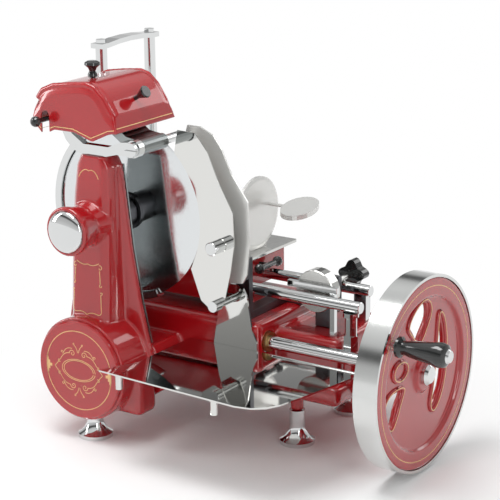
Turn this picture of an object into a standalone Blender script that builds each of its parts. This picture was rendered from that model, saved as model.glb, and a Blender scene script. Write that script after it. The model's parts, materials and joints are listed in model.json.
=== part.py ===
"""Hand crank meat slicer with a flywheel, as separate solids in metres, +Z up.

X runs along the flywheel shaft, Y runs from the round gear cover to the back, Z is up.
The machine is drawn about the blade column, and the last step moves it so that the middle
of its footprint is at the origin.
"""
import math

import bmesh
import bpy
from mathutils import Matrix, Vector

# Common values
GAP = 0.0003            # gap between pieces that touch
OVERRUN = 0.004         # how far a cutter runs past the face it opens
ROUND_STEPS = 24        # sides of a turned piece
FINE_STEPS = 48         # sides of the blade and the flywheel
SMALL_STEPS = 16        # sides of a pin or a knob
SHARP_ANGLE = math.radians(35)

# Places that several pieces share
COLUMN_X = 0.0          # blade axis and column middle
BLADE_AXIS_Z = 0.346
GEAR_AXIS_Z = 0.119
SHAFT_Y = 0.019         # flywheel shaft
SHAFT_Z = 0.156
COLUMN_BACK_Y = -0.083
BLADE_FRONT_Y = -0.030

# Blade and its drive
BLADE_R = 0.140
BLADE_THICK = 0.003
BLADE_BEVEL = 0.018
BLADE_BORE_R = 0.010
BLADE_SHAFT_R = BLADE_BORE_R - GAP
HUB_R = 0.030
HUB_THICK = 0.006
HUB_BOSS_R = 0.019
HUB_BACK_THICK = 0.010
HOUSING_R = 0.025
HOUSING_WALL = 0.006
SPROCKET_WIDTH = 0.006
UPPER_SPROCKET_R = 0.017
SPROCKET_RATIO = 2.0
LOWER_SPROCKET_R = UPPER_SPROCKET_R * SPROCKET_RATIO
SPROCKET_TOOTH = 0.0025
SPROCKET_PITCH = 0.0127
CHAIN_THICK = 0.004
CHAIN_CLEAR = 0.0006
CHAIN_ROOM = 0.006
CHAIN_Y = -0.102        # middle of the chain
LAY_SHAFT_R = 0.008
GEAR_WIDTH = 0.014
GEAR_TOOTH = 0.003
GEAR_TEETH = 12
GEAR_RATIO = 1.5
GEAR_MESH_CLEAR = 0.001

# Guard ring round the blade
GUARD_CLEAR = 0.0045
GUARD_R = BLADE_R + GUARD_CLEAR
GUARD_DEPTH = 0.016
GUARD_WALL = 0.0025
GUARD_LIP = 0.011
GUARD_START = math.radians(108)
GUARD_SWEEP = math.radians(186)
GUARD_STEPS = 40
GUARD_BRACKET_W = 0.030

# Column
COLUMN_BASE_Z = 0.100
COLUMN_HEAD_DROP = 0.034  # from the blade's top down to the column's top
COLUMN_TOP_Z = BLADE_AXIS_Z + BLADE_R - COLUMN_HEAD_DROP
COLUMN_FRONT_TOP_Y = -0.121
COLUMN_FRONT_LOW_Y = -0.146
FLANGE_THICK = 0.009
FLANGE_SHARE = 0.3      # how far the body stands in from the flange at the bottom
CORNER_SHARE = 0.45     # share of the depth that the front corners round off
DRUM_R = 0.083
DRUM_FRONT_Y = -0.1575
TUBE_R = 0.0386
TUBE_WAIST_R = 0.031
TUBE_FRONT_Y = -0.183
TUBE_LIP_SHARE = 0.125  # share of the tube's length that its lip takes
TUBE_WAIST_SHARE = 0.6  # share of the tube's length where its waist ends
CAP_R = 0.033
CAP_SEAT = 0.004
CAP_DOME = 0.010
COVER_R = 0.079
COVER_THICK = 0.0065
COVER_EDGE = 0.002
BACK_PLATE_THICK = 0.003

# Base casting
BASE_LEFT_X = -0.095
BASE_RIGHT_X = 0.375
BASE_FRONT_Y = -0.010
BASE_BACK_Y = 0.205
PLINTH_BOTTOM_Z = 0.080
PLINTH_TOP_Z = 0.112
HOUSING_RIGHT_X = 0.233
DECK_Z = 0.190
SIDE_DECK_Z = 0.172
SIDE_DECK_FRONT_Y = 0.036
SIDE_DECK_RIGHT_X = 0.350
BASE_WALL = 0.007
BASE_EDGE_R = 0.010
SHOE_SETBACK = 0.016
APRON_LEFT_X = -0.078
APRON_RIGHT_X = 0.100
APRON_SHARE = 0.142     # height of the apron as a share of the column
APRON_TOP_Z = COLUMN_BASE_Z + (COLUMN_TOP_Z - COLUMN_BASE_Z) * APRON_SHARE
APRON_BOTTOM_Z = 0.047
BOSS_R = 0.012
BOSS_TOP_Z = 0.160
LEG_R = 0.0105
FOOT_HEIGHT = 0.055
FOOT_BASE_R = 0.0275
FOOT_RIM_H = 0.006
FOOT_BELL_H = 0.030
FOOT_NECK_R = 0.0125
FRONT_FOOT_X = 0.0
FRONT_FOOT_Y = -0.128
RIGHT_FOOT_X = 0.286
RIGHT_FRONT_FOOT_Y = 0.018
BACK_FOOT_Y = 0.180
LEFT_BACK_FOOT_X = 0.0

# Flywheel and crank
SHAFT_R = 0.0105
SHAFT_LEFT_X = -0.030
BUSH_R = 0.016
WHEEL_R = 0.150
WHEEL_FRONT_X = 0.512
WHEEL_WIDTH = 0.038
RIM_THICK = 0.0045
WEB_SETBACK = 0.001
RECESS_R = 0.118
RECESS_DEPTH = 0.006
WEB_THICK = 0.014
WEB_HUB_R = 0.024
WEB_HUB_BACK_X = 0.464
HUB_CAP_R = 0.0165
HUB_CAP_DEPTH = 0.010
CRANK_R = 0.1265
CRANK_ANGLE = math.radians(144)
CRANK_BOSS_R = 0.0075
CRANK_BOSS_H = 0.006
PIN_R = 0.0055
PIN_COLLAR_R = 0.009
PIN_COLLAR_H = 0.004
GRIP_LENGTH = 0.079
GRIP_FLANGE_R = 0.0155
GRIP_NECK_R = 0.0105
GRIP_END_R = 0.0185
GRIP_CLEAR = 0.0005
END_CAP_R = 0.0105
END_CAP_H = 0.004

# Slide rods and their right end
ROD_R = 0.0092
FRONT_ROD_Y = 0.042
FRONT_ROD_Z = 0.230
FRONT_ROD_RIGHT_X = 0.386
REAR_ROD_Y = 0.147
REAR_ROD_Z = 0.222
REAR_ROD_RIGHT_X = 0.342
ROD_LEFT_X = -0.166
POST_X = 0.368
POST_R = 0.0095
NUT_R = 0.0125
NUT_H = 0.024
COLLAR_R = 0.0125
COLLAR_H = 0.008
STAND_W = 0.022
STAND_DEPTH_SHARE = 0.625  # half depth of a stand as a share of its half width
STAND_X = -0.150
STAND_RIGHT_X = 0.326
WING_LEFT_X = -0.165
WING_FRONT_Y = 0.025
WING_BOTTOM_Z = 0.150
TIE_Y = 0.0565
TIE_W = 0.008
TIE_H = 0.010
TIE_Z = 0.2455
TIE_LEFT_X = 0.246
TIE_RIGHT_X = 0.336

# Thickness dial and gauge plate
DIAL_X = 0.291
DIAL_Z = 0.236
DIAL_Y = 0.061
DIAL_R = 0.034
DIAL_DEPTH = 0.022
KNOB_R = 0.024
KNOB_DEPTH = 0.018
KNOB_LOBES = 4
KNOB_LOBE = 0.004
KNOB_Y = 0.170
DIAL_SHAFT_R = 0.0045
DIAL_STAND_W = 0.014
DIAL_STAND_X_W = 0.026
GAUGE_Y = -0.019
GAUGE_THICK = 0.003
GAUGE_TRAVEL = 0.016
GAUGE_CLEAR = 0.0055    # from the blade's edge to the gauge plate's hollow edge
ARM_LEFT_X = 0.182
ARM_WIDTH = 0.024
ARM_DEPTH = 0.010
ARM_PAD_Z = 0.257
ARM_TOP_Z = 0.290
ARM_HEIGHT = 0.012
LINK_Y = 0.114
LINK_EYE_W = 0.022
SPACER_R = 0.006
SPACER_X = 0.177
SPACER_Z = 0.222
PEG_X = 0.184
PEG_Z = 0.318
LOWER_PLATE_Y = BASE_FRONT_Y - GAP
DEFLECTOR_Y = -0.0365
DEFLECTOR_THICK = 0.0018
DEFLECTOR_CLEAR = 0.002
PEG_KNOB_R = 0.0105
PEG_KNOB_L = 0.026
SMALL_KNOB_R = 0.0085
SMALL_KNOB_L = 0.014

# Tray
TRAY_Z = 0.149
TRAY_THICK = 0.0025
TRAY_LEFT_X = 0.106
TRAY_NOTCH_Y = -0.150
TRAY_LENGTH = 0.312
TRAY_DEPTH = 0.2124
STUD_R = 0.0055
STUD_H = 0.026
STUD_TAB = 0.016
STUD_LEFT_X = 0.108
STUD_RIGHT_X = 0.290
STUD_SETBACK = 0.012

# Carriage, table, fence and holder
CARRIAGE_LEFT_X = -0.150
CARRIAGE_RIGHT_X = 0.143
CARRIAGE_FRONT_Y = 0.018
CARRIAGE_BACK_Y = 0.205
CARRIAGE_TOP_Z = 0.252
CARRIAGE_SKIRT_Z = 0.205
CARRIAGE_WALL = 0.010
CARRIAGE_DECK = 0.008
TABLE_LEFT_X = -0.155
TABLE_RIGHT_X = 0.147
TABLE_FRONT_Y = 0.030
TABLE_BACK_Y = 0.236
TABLE_THICK = 0.006
POST_FENCE_X = -0.140
POST_FENCE_R = 0.0095
POST_FRONT_Y = 0.092
POST_BACK_Y = 0.223
FENCE_TOP_Z = 0.583
FENCE_BAR_H = 0.008
FENCE_BAR_W = 0.024
FENCE_BAR_ARCH = 0.004
FENCE_FLAT_SHARE = 0.8  # share of the bar's half length where its arch starts
FENCE_NUT_R = 0.009
FENCE_NUT_H = 0.006
PRESS_Z = 0.320
PRESS_H = 0.014
PRESS_REACH = 0.070
PRESS_THICK = 0.004
HOLDER_X = 0.126
HOLDER_Y = 0.1525
HOLDER_R = 0.060
HOLDER_THICK = 0.006
HOLDER_FOOT_H = 0.006
HANDLE_HALF_X = 0.030
HANDLE_HALF_Y = 0.036
HANDLE_TILT = math.radians(12)
HANDLE_THICK = 0.008
HANDLE_X = 0.184
HANDLE_Y = 0.187
HANDLE_Z = 0.326
LEVER_Y = 0.1305
LEVER_Z = 0.241
LEVER_X = 0.160
LEVER_BALL_R = 0.0085
LEVER_ROD_R = 0.0045
LEVER_HALF = 0.0265
FEED_SCREW_R = 0.0038
FEED_SCREW_X = 0.060
FEED_SLOT_CLEAR = 0.0015

# Sharpener
YOKE_THICK = 0.012
YOKE_Y = -0.108
YOKE_EYE_R = 0.0135
HOOD_LENGTH = 0.164
HOOD_HEIGHT = 0.0885
HOOD_FRONT_Y = -0.128
HOOD_BACK_Y = 0.022
HOOD_WALL = 0.004
HOOD_EDGE_R = 0.016
PIVOT_X = 0.080
PIVOT_RISE = 0.018      # pivot above the column's top
PIVOT_Z = COLUMN_TOP_Z + PIVOT_RISE
PIVOT_R = 0.0075
PIVOT_BACK_Y = 0.004
PIVOT_HEAD_R = 0.0115
PIVOT_HEAD_H = 0.008
SCREW_SLOT = 0.002
TOP_KNOB_X = -0.026
TOP_KNOB_Y = -0.073
TOP_KNOB_R = 0.0125
TOP_KNOB_H = 0.024
WHEEL_STONE_R = 0.020
WHEEL_STONE_T = 0.008
STONE_RISE = 0.022      # stones above the blade's top
STONE_Z = BLADE_AXIS_Z + BLADE_R + STONE_RISE
STONE_BLADE_GAP = 0.0035
STONE_SPINDLE_R = 0.004
CARRIER_RISE = 0.023
CARRIER_Z = STONE_Z + CARRIER_RISE
CARRIER_H = 0.009
CARRIER_FRONT_Y = -0.100
CARRIER_BACK_Y = 0.004
CARRIER_ARM_BACK_Y = -0.040
CARRIER_EYE_R = 0.012
HANGER_T = 0.006
HANGER_Y = -0.075
SIDE_KNOB_R = 0.010
SIDE_KNOB_L = 0.026
SHARP_LEVER_X = -0.078
SHARP_LEVER_DROP = 0.006
SHARP_LEVER_Z = STONE_Z - SHARP_LEVER_DROP
SHARP_LEVER_ROD_R = 0.004
SHARP_LEVER_BALL_R = 0.0085
SHARP_LEVER_OUT = 0.022
SHARP_LEVER_BACK_Y = -0.0935
SLOT_HALF_W = 0.007
SLOT_RISE = 0.013       # lever slot above the lever
SLOT_TOP_Z = SHARP_LEVER_Z + SLOT_RISE

OBJECTS = {}


def clear_scene():
    """Empty the scene of its objects."""
    for item in list(bpy.data.objects):
        bpy.data.objects.remove(item, do_unlink=True)


def paint(name, colour, roughness, metallic):
    """A plain Principled finish, made once for each name."""
    found = bpy.data.materials.get(name)
    if found:
        return found
    made = bpy.data.materials.new(name)
    made.use_nodes = True
    shader = made.node_tree.nodes["Principled BSDF"]
    shader.inputs["Base Color"].default_value = (*colour, 1)
    shader.inputs["Roughness"].default_value = roughness
    shader.inputs["Metallic"].default_value = metallic
    return made


def red():
    return paint("red_enamel", (0.60, 0.015, 0.02), 0.15, 0)


def chrome():
    return paint("chrome_plate", (0.85, 0.86, 0.87), 0.08, 1)


def mirror_steel():
    return paint("mirror_steel", (0.88, 0.88, 0.86), 0.04, 1)


def dark_steel():
    return paint("dark_steel", (0.16, 0.16, 0.17), 0.35, 1)


def ground_steel():
    return paint("ground_steel", (0.50, 0.51, 0.52), 0.30, 1)


def black():
    return paint("black_plastic", (0.012, 0.012, 0.013), 0.25, 0)


def bronze():
    return paint("bronze", (0.55, 0.36, 0.14), 0.35, 1)


def stone():
    return paint("grinding_stone", (0.32, 0.30, 0.29), 0.85, 0)


def aluminium():
    return paint("polished_aluminium", (0.80, 0.80, 0.78), 0.22, 1)


def add(name, bm, finish, origin=(0, 0, 0)):
    """Make one object of a bmesh drawn in machine places, with its origin where named."""
    bmesh.ops.recalc_face_normals(bm, faces=bm.faces)
    bmesh.ops.translate(bm, verts=bm.verts, vec=-Vector(origin))
    mesh = bpy.data.meshes.new(name)
    bm.to_mesh(mesh)
    bm.free()
    mesh.materials.append(finish)
    mesh.shade_smooth()
    mesh.set_sharp_from_angle(angle=SHARP_ANGLE)
    made = bpy.data.objects.new(name, mesh)
    made.location = origin
    bpy.context.collection.objects.link(made)
    OBJECTS[name] = made
    return made


def shape_with(target, tool, operation):
    """Cut the target by a tool object, or join the tool to it."""
    tool.hide_render = True
    tool.display_type = "WIRE"
    step = target.modifiers.new(tool.name, "BOOLEAN")
    step.operation = operation
    step.object = tool
    step.solver = "EXACT"


def cut(target, tool):
    shape_with(target, tool, "DIFFERENCE")


def join(target, tool):
    shape_with(target, tool, "UNION")


def place(axis, across, up, along):
    """A point from its two coordinates across an axis and its place along it."""
    if axis == "X":
        return Vector((along, across, up))
    if axis == "Y":
        return Vector((across, along, up))
    return Vector((across, up, along))


def turned(bm, profile, axis, centre, closed=False, steps=ROUND_STEPS):
    """Spin (radius, place along the axis) points about an axis through centre (across, up)."""
    points = [bm.verts.new(place(axis, centre[0] + r, centre[1], a)) for r, a in profile]
    lines = [bm.edges.new(pair) for pair in zip(points, points[1:])]
    if closed:
        lines.append(bm.edges.new((points[-1], points[0])))
    direction = place(axis, 0, 0, 1)
    bmesh.ops.spin(bm, geom=points + lines, cent=place(axis, *centre, 0), axis=direction,
                   angle=math.tau, steps=steps, use_duplicate=False)
    bmesh.ops.remove_doubles(bm, verts=bm.verts, dist=GAP / 100)


def rod(bm, axis, centre, radius, start, end, steps=ROUND_STEPS, chamfer=0.0):
    """A solid round bar, with its end edges taken off where chamfer is given."""
    low, high = min(start, end), max(start, end)
    profile = [(0, low), (radius - chamfer, low), (radius, low + chamfer),
               (radius, high - chamfer), (radius - chamfer, high), (0, high)]
    if chamfer == 0:
        profile = [(0, low), (radius, low), (radius, high), (0, high)]
    turned(bm, profile, axis, centre, steps=steps)


def ring(bm, axis, centre, inner, outer, start, end, steps=ROUND_STEPS):
    """A plain round tube."""
    profile = [(inner, start), (outer, start), (outer, end), (inner, end)]
    turned(bm, profile, axis, centre, closed=True, steps=steps)


def slab(bm, outline, axis, start, end):
    """Extrude an outline of (across, up) points along an axis."""
    face = bm.faces.new([bm.verts.new(place(axis, a, u, start)) for a, u in outline])
    grown = bmesh.ops.extrude_face_region(bm, geom=[face])["geom"]
    moved = [item for item in grown if isinstance(item, bmesh.types.BMVert)]
    bmesh.ops.translate(bm, verts=moved, vec=place(axis, 0, 0, end - start))


def block(bm, low, high, edge=0.0, segments=2):
    """A box between two corners, with rounded edges where edge is given."""
    size = Vector(high) - Vector(low)
    middle = (Vector(high) + Vector(low)) / 2
    at = Matrix.Translation(middle) @ Matrix.Diagonal((*size, 1))
    made = bmesh.ops.create_cube(bm, size=1, matrix=at)["verts"]
    if edge:
        edges = {line for vert in made for line in vert.link_edges}
        bmesh.ops.bevel(bm, geom=list(edges), offset=edge, segments=segments,
                        affect="EDGES", profile=0.5)


def arc(across, up, radius, first, last, count):
    """Points along an arc, both ends included."""
    angles = [first + (last - first) * i / (count - 1) for i in range(count)]
    return [(across + radius * math.cos(a), up + radius * math.sin(a)) for a in angles]


def ellipse(across, up, half_across, half_up, count, tilt=0.0):
    """Points round an ellipse whose first half axis is tilted by an angle."""
    points = []
    for i in range(count):
        angle = math.tau * i / count
        a = half_across * math.cos(angle)
        u = half_up * math.sin(angle)
        points.append((across + a * math.cos(tilt) - u * math.sin(tilt),
                       up + a * math.sin(tilt) + u * math.cos(tilt)))
    return points


def rounded(left, right, low, high, radius, count=4):
    """A rectangle with round corners, anticlockwise from its right lower corner."""
    quarter = math.pi / 2
    corners = [(right - radius, low + radius, -quarter), (right - radius, high - radius, 0),
               (left + radius, high - radius, quarter), (left + radius, low + radius, math.pi)]
    points = []
    for across, up, first in corners:
        points += arc(across, up, radius, first, first + quarter, count)
    return points


def scaled(shares, across, up, width, height):
    """Points from shares of a width and a height, counted from a place."""
    return [(across + width * a, up + height * u) for a, u in shares]


def eased(points, times=2):
    """Take the corners off an open line of points, keeping its two ends."""
    for _ in range(times):
        cut_line = [points[0]]
        for (a0, u0), (a1, u1) in zip(points, points[1:]):
            cut_line += [(a0 * 0.75 + a1 * 0.25, u0 * 0.75 + u1 * 0.25),
                         (a0 * 0.25 + a1 * 0.75, u0 * 0.25 + u1 * 0.75)]
        points = cut_line + [points[-1]]
    return points


def belt(low_radius, top_radius, count=14):
    """The outline of a band round the gear axis below and the blade axis above."""
    reach = BLADE_AXIS_Z - GEAR_AXIS_Z
    lean = math.asin((low_radius - top_radius) / reach)
    top = arc(COLUMN_X, BLADE_AXIS_Z, top_radius, lean, math.pi - lean, count)
    low = arc(COLUMN_X, GEAR_AXIS_Z, low_radius, math.pi - lean, math.tau + lean, count)
    return top + low


def toothed(across, up, tip_radius, tooth, teeth):
    """The outline of a wheel with plain sloping teeth."""
    points = []
    for i in range(teeth):
        for share, radius in ((0.0, tip_radius - tooth), (0.3, tip_radius),
                              (0.55, tip_radius), (0.85, tip_radius - tooth)):
            angle = math.tau * (i + share) / teeth
            points.append((across + radius * math.cos(angle), up + radius * math.sin(angle)))
    return points


def loft(bm, sections):
    """Close a stack of rings of points, all of one count, into a solid."""
    rings = [[bm.verts.new(point) for point in section] for section in sections]
    for lower, upper in zip(rings, rings[1:]):
        for i in range(len(lower)):
            j = (i + 1) % len(lower)
            bm.faces.new((lower[i], lower[j], upper[j], upper[i]))
    bm.faces.new(list(reversed(rings[0])))
    bm.faces.new(rings[-1])


# Frame

# Column sides at seven levels: share of the height, then left and right side as shares of the drum
COLUMN_SHARES = ((0, -0.964, 1.205), (0.16, -0.94, 0.988), (0.34, -0.795, 0.807),
                 (0.58, -0.627, 0.627), (0.82, -0.482, 0.506), (0.955, -0.373, 0.434),
                 (1, -0.265, 0.325))


def column_section(share, left_share, right_share):
    """One level cut of the column: a wide flange at the back and a narrower body before it."""
    height = COLUMN_BASE_Z + (COLUMN_TOP_Z - COLUMN_BASE_Z) * share
    front = COLUMN_FRONT_LOW_Y + (COLUMN_FRONT_TOP_Y - COLUMN_FRONT_LOW_Y) * share
    left = DRUM_R * left_share
    right = DRUM_R * right_share
    inset = (right - left) * FLANGE_SHARE * (1 - share)
    facet = (right - left - inset * 2) / 6
    flange = COLUMN_BACK_Y - FLANGE_THICK
    depth = (COLUMN_BACK_Y - front) * CORNER_SHARE
    outline = []
    for edge, side in ((right, 1), (left, -1)):
        body = edge - inset * side
        corner = [(edge, COLUMN_BACK_Y), (edge, flange), (body, flange - FLANGE_THICK / 2),
                  (body, front + depth), (body - side * facet / 4, front + depth / 3),
                  (body - side * facet, front)]
        outline += corner if side > 0 else reversed(corner)
    return [(x, y, height) for x, y in outline]


def make_column():
    """The red column: tapered body, round gear drum, spindle tube and the room for the chain."""
    bm = bmesh.new()
    loft(bm, [column_section(*side) for side in COLUMN_SHARES])
    body = add("column", bm, red())

    bm = bmesh.new()
    rod(bm, "Y", (COLUMN_X, GEAR_AXIS_Z), DRUM_R, DRUM_FRONT_Y,
        COLUMN_BACK_Y - GAP, FINE_STEPS)
    join(body, add("drum_tool", bm, red()))

    bm = bmesh.new()
    block(bm, (COLUMN_X, COLUMN_FRONT_LOW_Y + SHOE_SETBACK, APRON_BOTTOM_Z),
          (APRON_RIGHT_X - SHOE_SETBACK / 2, COLUMN_BACK_Y - GAP * 2, GEAR_AXIS_Z), BASE_EDGE_R)
    join(body, add("shoe_tool", bm, red()))

    bm = bmesh.new()
    rod(bm, "Z", (FRONT_FOOT_X, FRONT_FOOT_Y), FOOT_NECK_R + GAP, 0, FOOT_HEIGHT + GAP)
    cut(body, add("foot_socket_tool", bm, red()))

    bm = bmesh.new()
    inside = COLUMN_FRONT_TOP_Y + HOUSING_WALL
    length = inside - TUBE_FRONT_Y
    lip = TUBE_FRONT_Y + length * TUBE_LIP_SHARE
    waist = TUBE_FRONT_Y + length * TUBE_WAIST_SHARE
    profile = [(0, TUBE_FRONT_Y), (TUBE_R - COVER_EDGE, TUBE_FRONT_Y),
               (TUBE_R, TUBE_FRONT_Y + COVER_EDGE), (TUBE_R, lip), (TUBE_WAIST_R, waist),
               (TUBE_R, inside), (0, inside)]
    turned(bm, profile, "Y", (COLUMN_X, BLADE_AXIS_Z))
    join(body, add("tube_tool", bm, red()))

    bm = bmesh.new()
    rod(bm, "Y", (COLUMN_X, BLADE_AXIS_Z), CAP_R, TUBE_FRONT_Y - OVERRUN, TUBE_FRONT_Y + CAP_SEAT)
    cut(body, add("cap_seat_tool", bm, red()))

    bm = bmesh.new()
    front = CHAIN_Y - SPROCKET_WIDTH
    room = belt(LOWER_SPROCKET_R + CHAIN_THICK + CHAIN_ROOM,
                UPPER_SPROCKET_R + CHAIN_THICK + CHAIN_ROOM)
    slab(bm, room, "Y", front, COLUMN_BACK_Y + OVERRUN)
    cut(body, add("chain_room_tool", bm, red()))

    return body


def make_column_trim():
    """Covers and plate that close the column."""
    bm = bmesh.new()
    back = DRUM_FRONT_Y - GAP
    front = back - COVER_THICK
    profile = [(0, front), (COVER_R - COVER_EDGE, front), (COVER_R, front + COVER_EDGE),
               (COVER_R, back), (0, back)]
    turned(bm, profile, "Y", (COLUMN_X, GEAR_AXIS_Z), steps=FINE_STEPS)
    add("gear_cover", bm, red())

    bm = bmesh.new()
    seat = TUBE_FRONT_Y + CAP_SEAT - GAP
    rim = CAP_R - GAP
    dome = [(rim * math.cos(a), TUBE_FRONT_Y - CAP_DOME * math.sin(a))
            for a in (math.pi / 2 * i / 8 for i in range(9))]
    turned(bm, [(0, seat), (rim, seat)] + dome, "Y", (COLUMN_X, BLADE_AXIS_Z))
    add("spindle_cap", bm, chrome())

    bm = bmesh.new()
    front = COLUMN_BACK_Y + GAP
    back = front + BACK_PLATE_THICK
    sides = [side for side in COLUMN_SHARES if 0 < side[0] < 1]
    height = COLUMN_TOP_Z - COLUMN_BASE_Z
    right = [(DRUM_R * x, COLUMN_BASE_Z + height * share) for share, _, x in sides]
    left = [(DRUM_R * x, COLUMN_BASE_Z + height * share) for share, x, _ in reversed(sides)]
    slab(bm, right + left, "Y", front, back)
    plate = add("column_back_plate", bm, ground_steel())
    bm = bmesh.new()
    rod(bm, "Y", (COLUMN_X, BLADE_AXIS_Z), BLADE_SHAFT_R + BACK_PLATE_THICK, front - OVERRUN,
        back + OVERRUN)
    cut(plate, add("plate_bore_tool", bm, ground_steel()))


def make_base():
    """The red base casting, open below, with its apron under the column and three legs."""
    bm = bmesh.new()
    block(bm, (BASE_LEFT_X, BASE_FRONT_Y, PLINTH_BOTTOM_Z),
          (BASE_RIGHT_X, BASE_BACK_Y, PLINTH_TOP_Z), BASE_EDGE_R)
    base = add("base_casting", bm, red())

    bm = bmesh.new()
    middle = (PLINTH_BOTTOM_Z + PLINTH_TOP_Z) / 2
    block(bm, (BASE_LEFT_X + BASE_WALL / 2, BASE_FRONT_Y + GAP, middle),
          (HOUSING_RIGHT_X, BASE_BACK_Y - BASE_WALL / 2, DECK_Z), BASE_EDGE_R)
    join(base, add("housing_tool", bm, red()))

    bm = bmesh.new()
    block(bm, (HOUSING_RIGHT_X - BASE_EDGE_R * 2, SIDE_DECK_FRONT_Y, middle),
          (SIDE_DECK_RIGHT_X, BASE_BACK_Y - BASE_WALL, SIDE_DECK_Z), BASE_EDGE_R)
    join(base, add("side_deck_tool", bm, red()))

    bm = bmesh.new()
    block(bm, (WING_LEFT_X, WING_FRONT_Y, WING_BOTTOM_Z),
          (BASE_LEFT_X + BASE_WALL * 2, BASE_BACK_Y - BASE_WALL, DECK_Z), BASE_EDGE_R)
    join(base, add("wing_tool", bm, red()))

    bm = bmesh.new()
    front = COLUMN_BACK_Y + GAP
    outline = [(APRON_LEFT_X, APRON_TOP_Z), (APRON_LEFT_X, PLINTH_BOTTOM_Z),
               (APRON_LEFT_X / 2, APRON_BOTTOM_Z), (APRON_RIGHT_X / 2, APRON_BOTTOM_Z),
               (APRON_RIGHT_X, PLINTH_BOTTOM_Z), (APRON_RIGHT_X, PLINTH_TOP_Z),
               (APRON_RIGHT_X * 0.8, APRON_TOP_Z)]
    slab(bm, outline, "Y", front, BASE_FRONT_Y + BASE_WALL)
    join(base, add("apron_tool", bm, red()))

    bm = bmesh.new()
    rod(bm, "Z", (POST_X, FRONT_ROD_Y), BOSS_R, middle, BOSS_TOP_Z)
    join(base, add("post_boss_tool", bm, red()))

    for name, x, y in (("leg_right_front_tool", RIGHT_FOOT_X, RIGHT_FRONT_FOOT_Y),
                       ("leg_right_back_tool", RIGHT_FOOT_X, BACK_FOOT_Y),
                       ("leg_left_back_tool", LEFT_BACK_FOOT_X, BACK_FOOT_Y)):
        bm = bmesh.new()
        rod(bm, "Z", (x, y), LEG_R, FOOT_HEIGHT + GAP, middle)
        join(base, add(name, bm, red()))

    bm = bmesh.new()
    block(bm, (BASE_LEFT_X + BASE_WALL * 2, BASE_FRONT_Y + BASE_WALL, APRON_BOTTOM_Z - OVERRUN),
          (HOUSING_RIGHT_X - BASE_WALL, BACK_FOOT_Y - FOOT_NECK_R, DECK_Z - BASE_WALL))
    cut(base, add("hollow_tool", bm, red()))

    bm = bmesh.new()
    rod(bm, "X", (SHAFT_Y, SHAFT_Z), BUSH_R + GAP, HOUSING_RIGHT_X - BASE_WALL - OVERRUN,
        HOUSING_RIGHT_X + OVERRUN)
    cut(base, add("bush_bore_tool", bm, red()))

    bm = bmesh.new()
    rod(bm, "Y", (COLUMN_X, GEAR_AXIS_Z), LAY_SHAFT_R + GAP, COLUMN_BACK_Y,
        BASE_FRONT_Y + BASE_WALL + OVERRUN)
    cut(base, add("lay_bore_tool", bm, red()))
    return base


def make_feet():
    """Four chrome bell feet, each turned about its own upright axis."""
    profile = [(0, 0), (FOOT_BASE_R, 0), (FOOT_BASE_R, FOOT_RIM_H)]
    steps = 6
    for i in range(1, steps + 1):
        share = i / steps
        radius = FOOT_NECK_R + (FOOT_BASE_R * 0.93 - FOOT_NECK_R) * (1 - share) ** 2
        profile.append((radius, FOOT_RIM_H + (FOOT_BELL_H - FOOT_RIM_H) * share))
    profile += [(FOOT_NECK_R, FOOT_HEIGHT), (0, FOOT_HEIGHT)]
    places = {"foot_front": (FRONT_FOOT_X, FRONT_FOOT_Y),
              "foot_right_front": (RIGHT_FOOT_X, RIGHT_FRONT_FOOT_Y),
              "foot_right_back": (RIGHT_FOOT_X, BACK_FOOT_Y),
              "foot_left_back": (LEFT_BACK_FOOT_X, BACK_FOOT_Y)}
    for name, (x, y) in places.items():
        bm = bmesh.new()
        turned(bm, profile, "Z", (x, y), steps=SMALL_STEPS)
        add(name, bm, chrome(), (x, y, 0))


# Blade and drive

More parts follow.
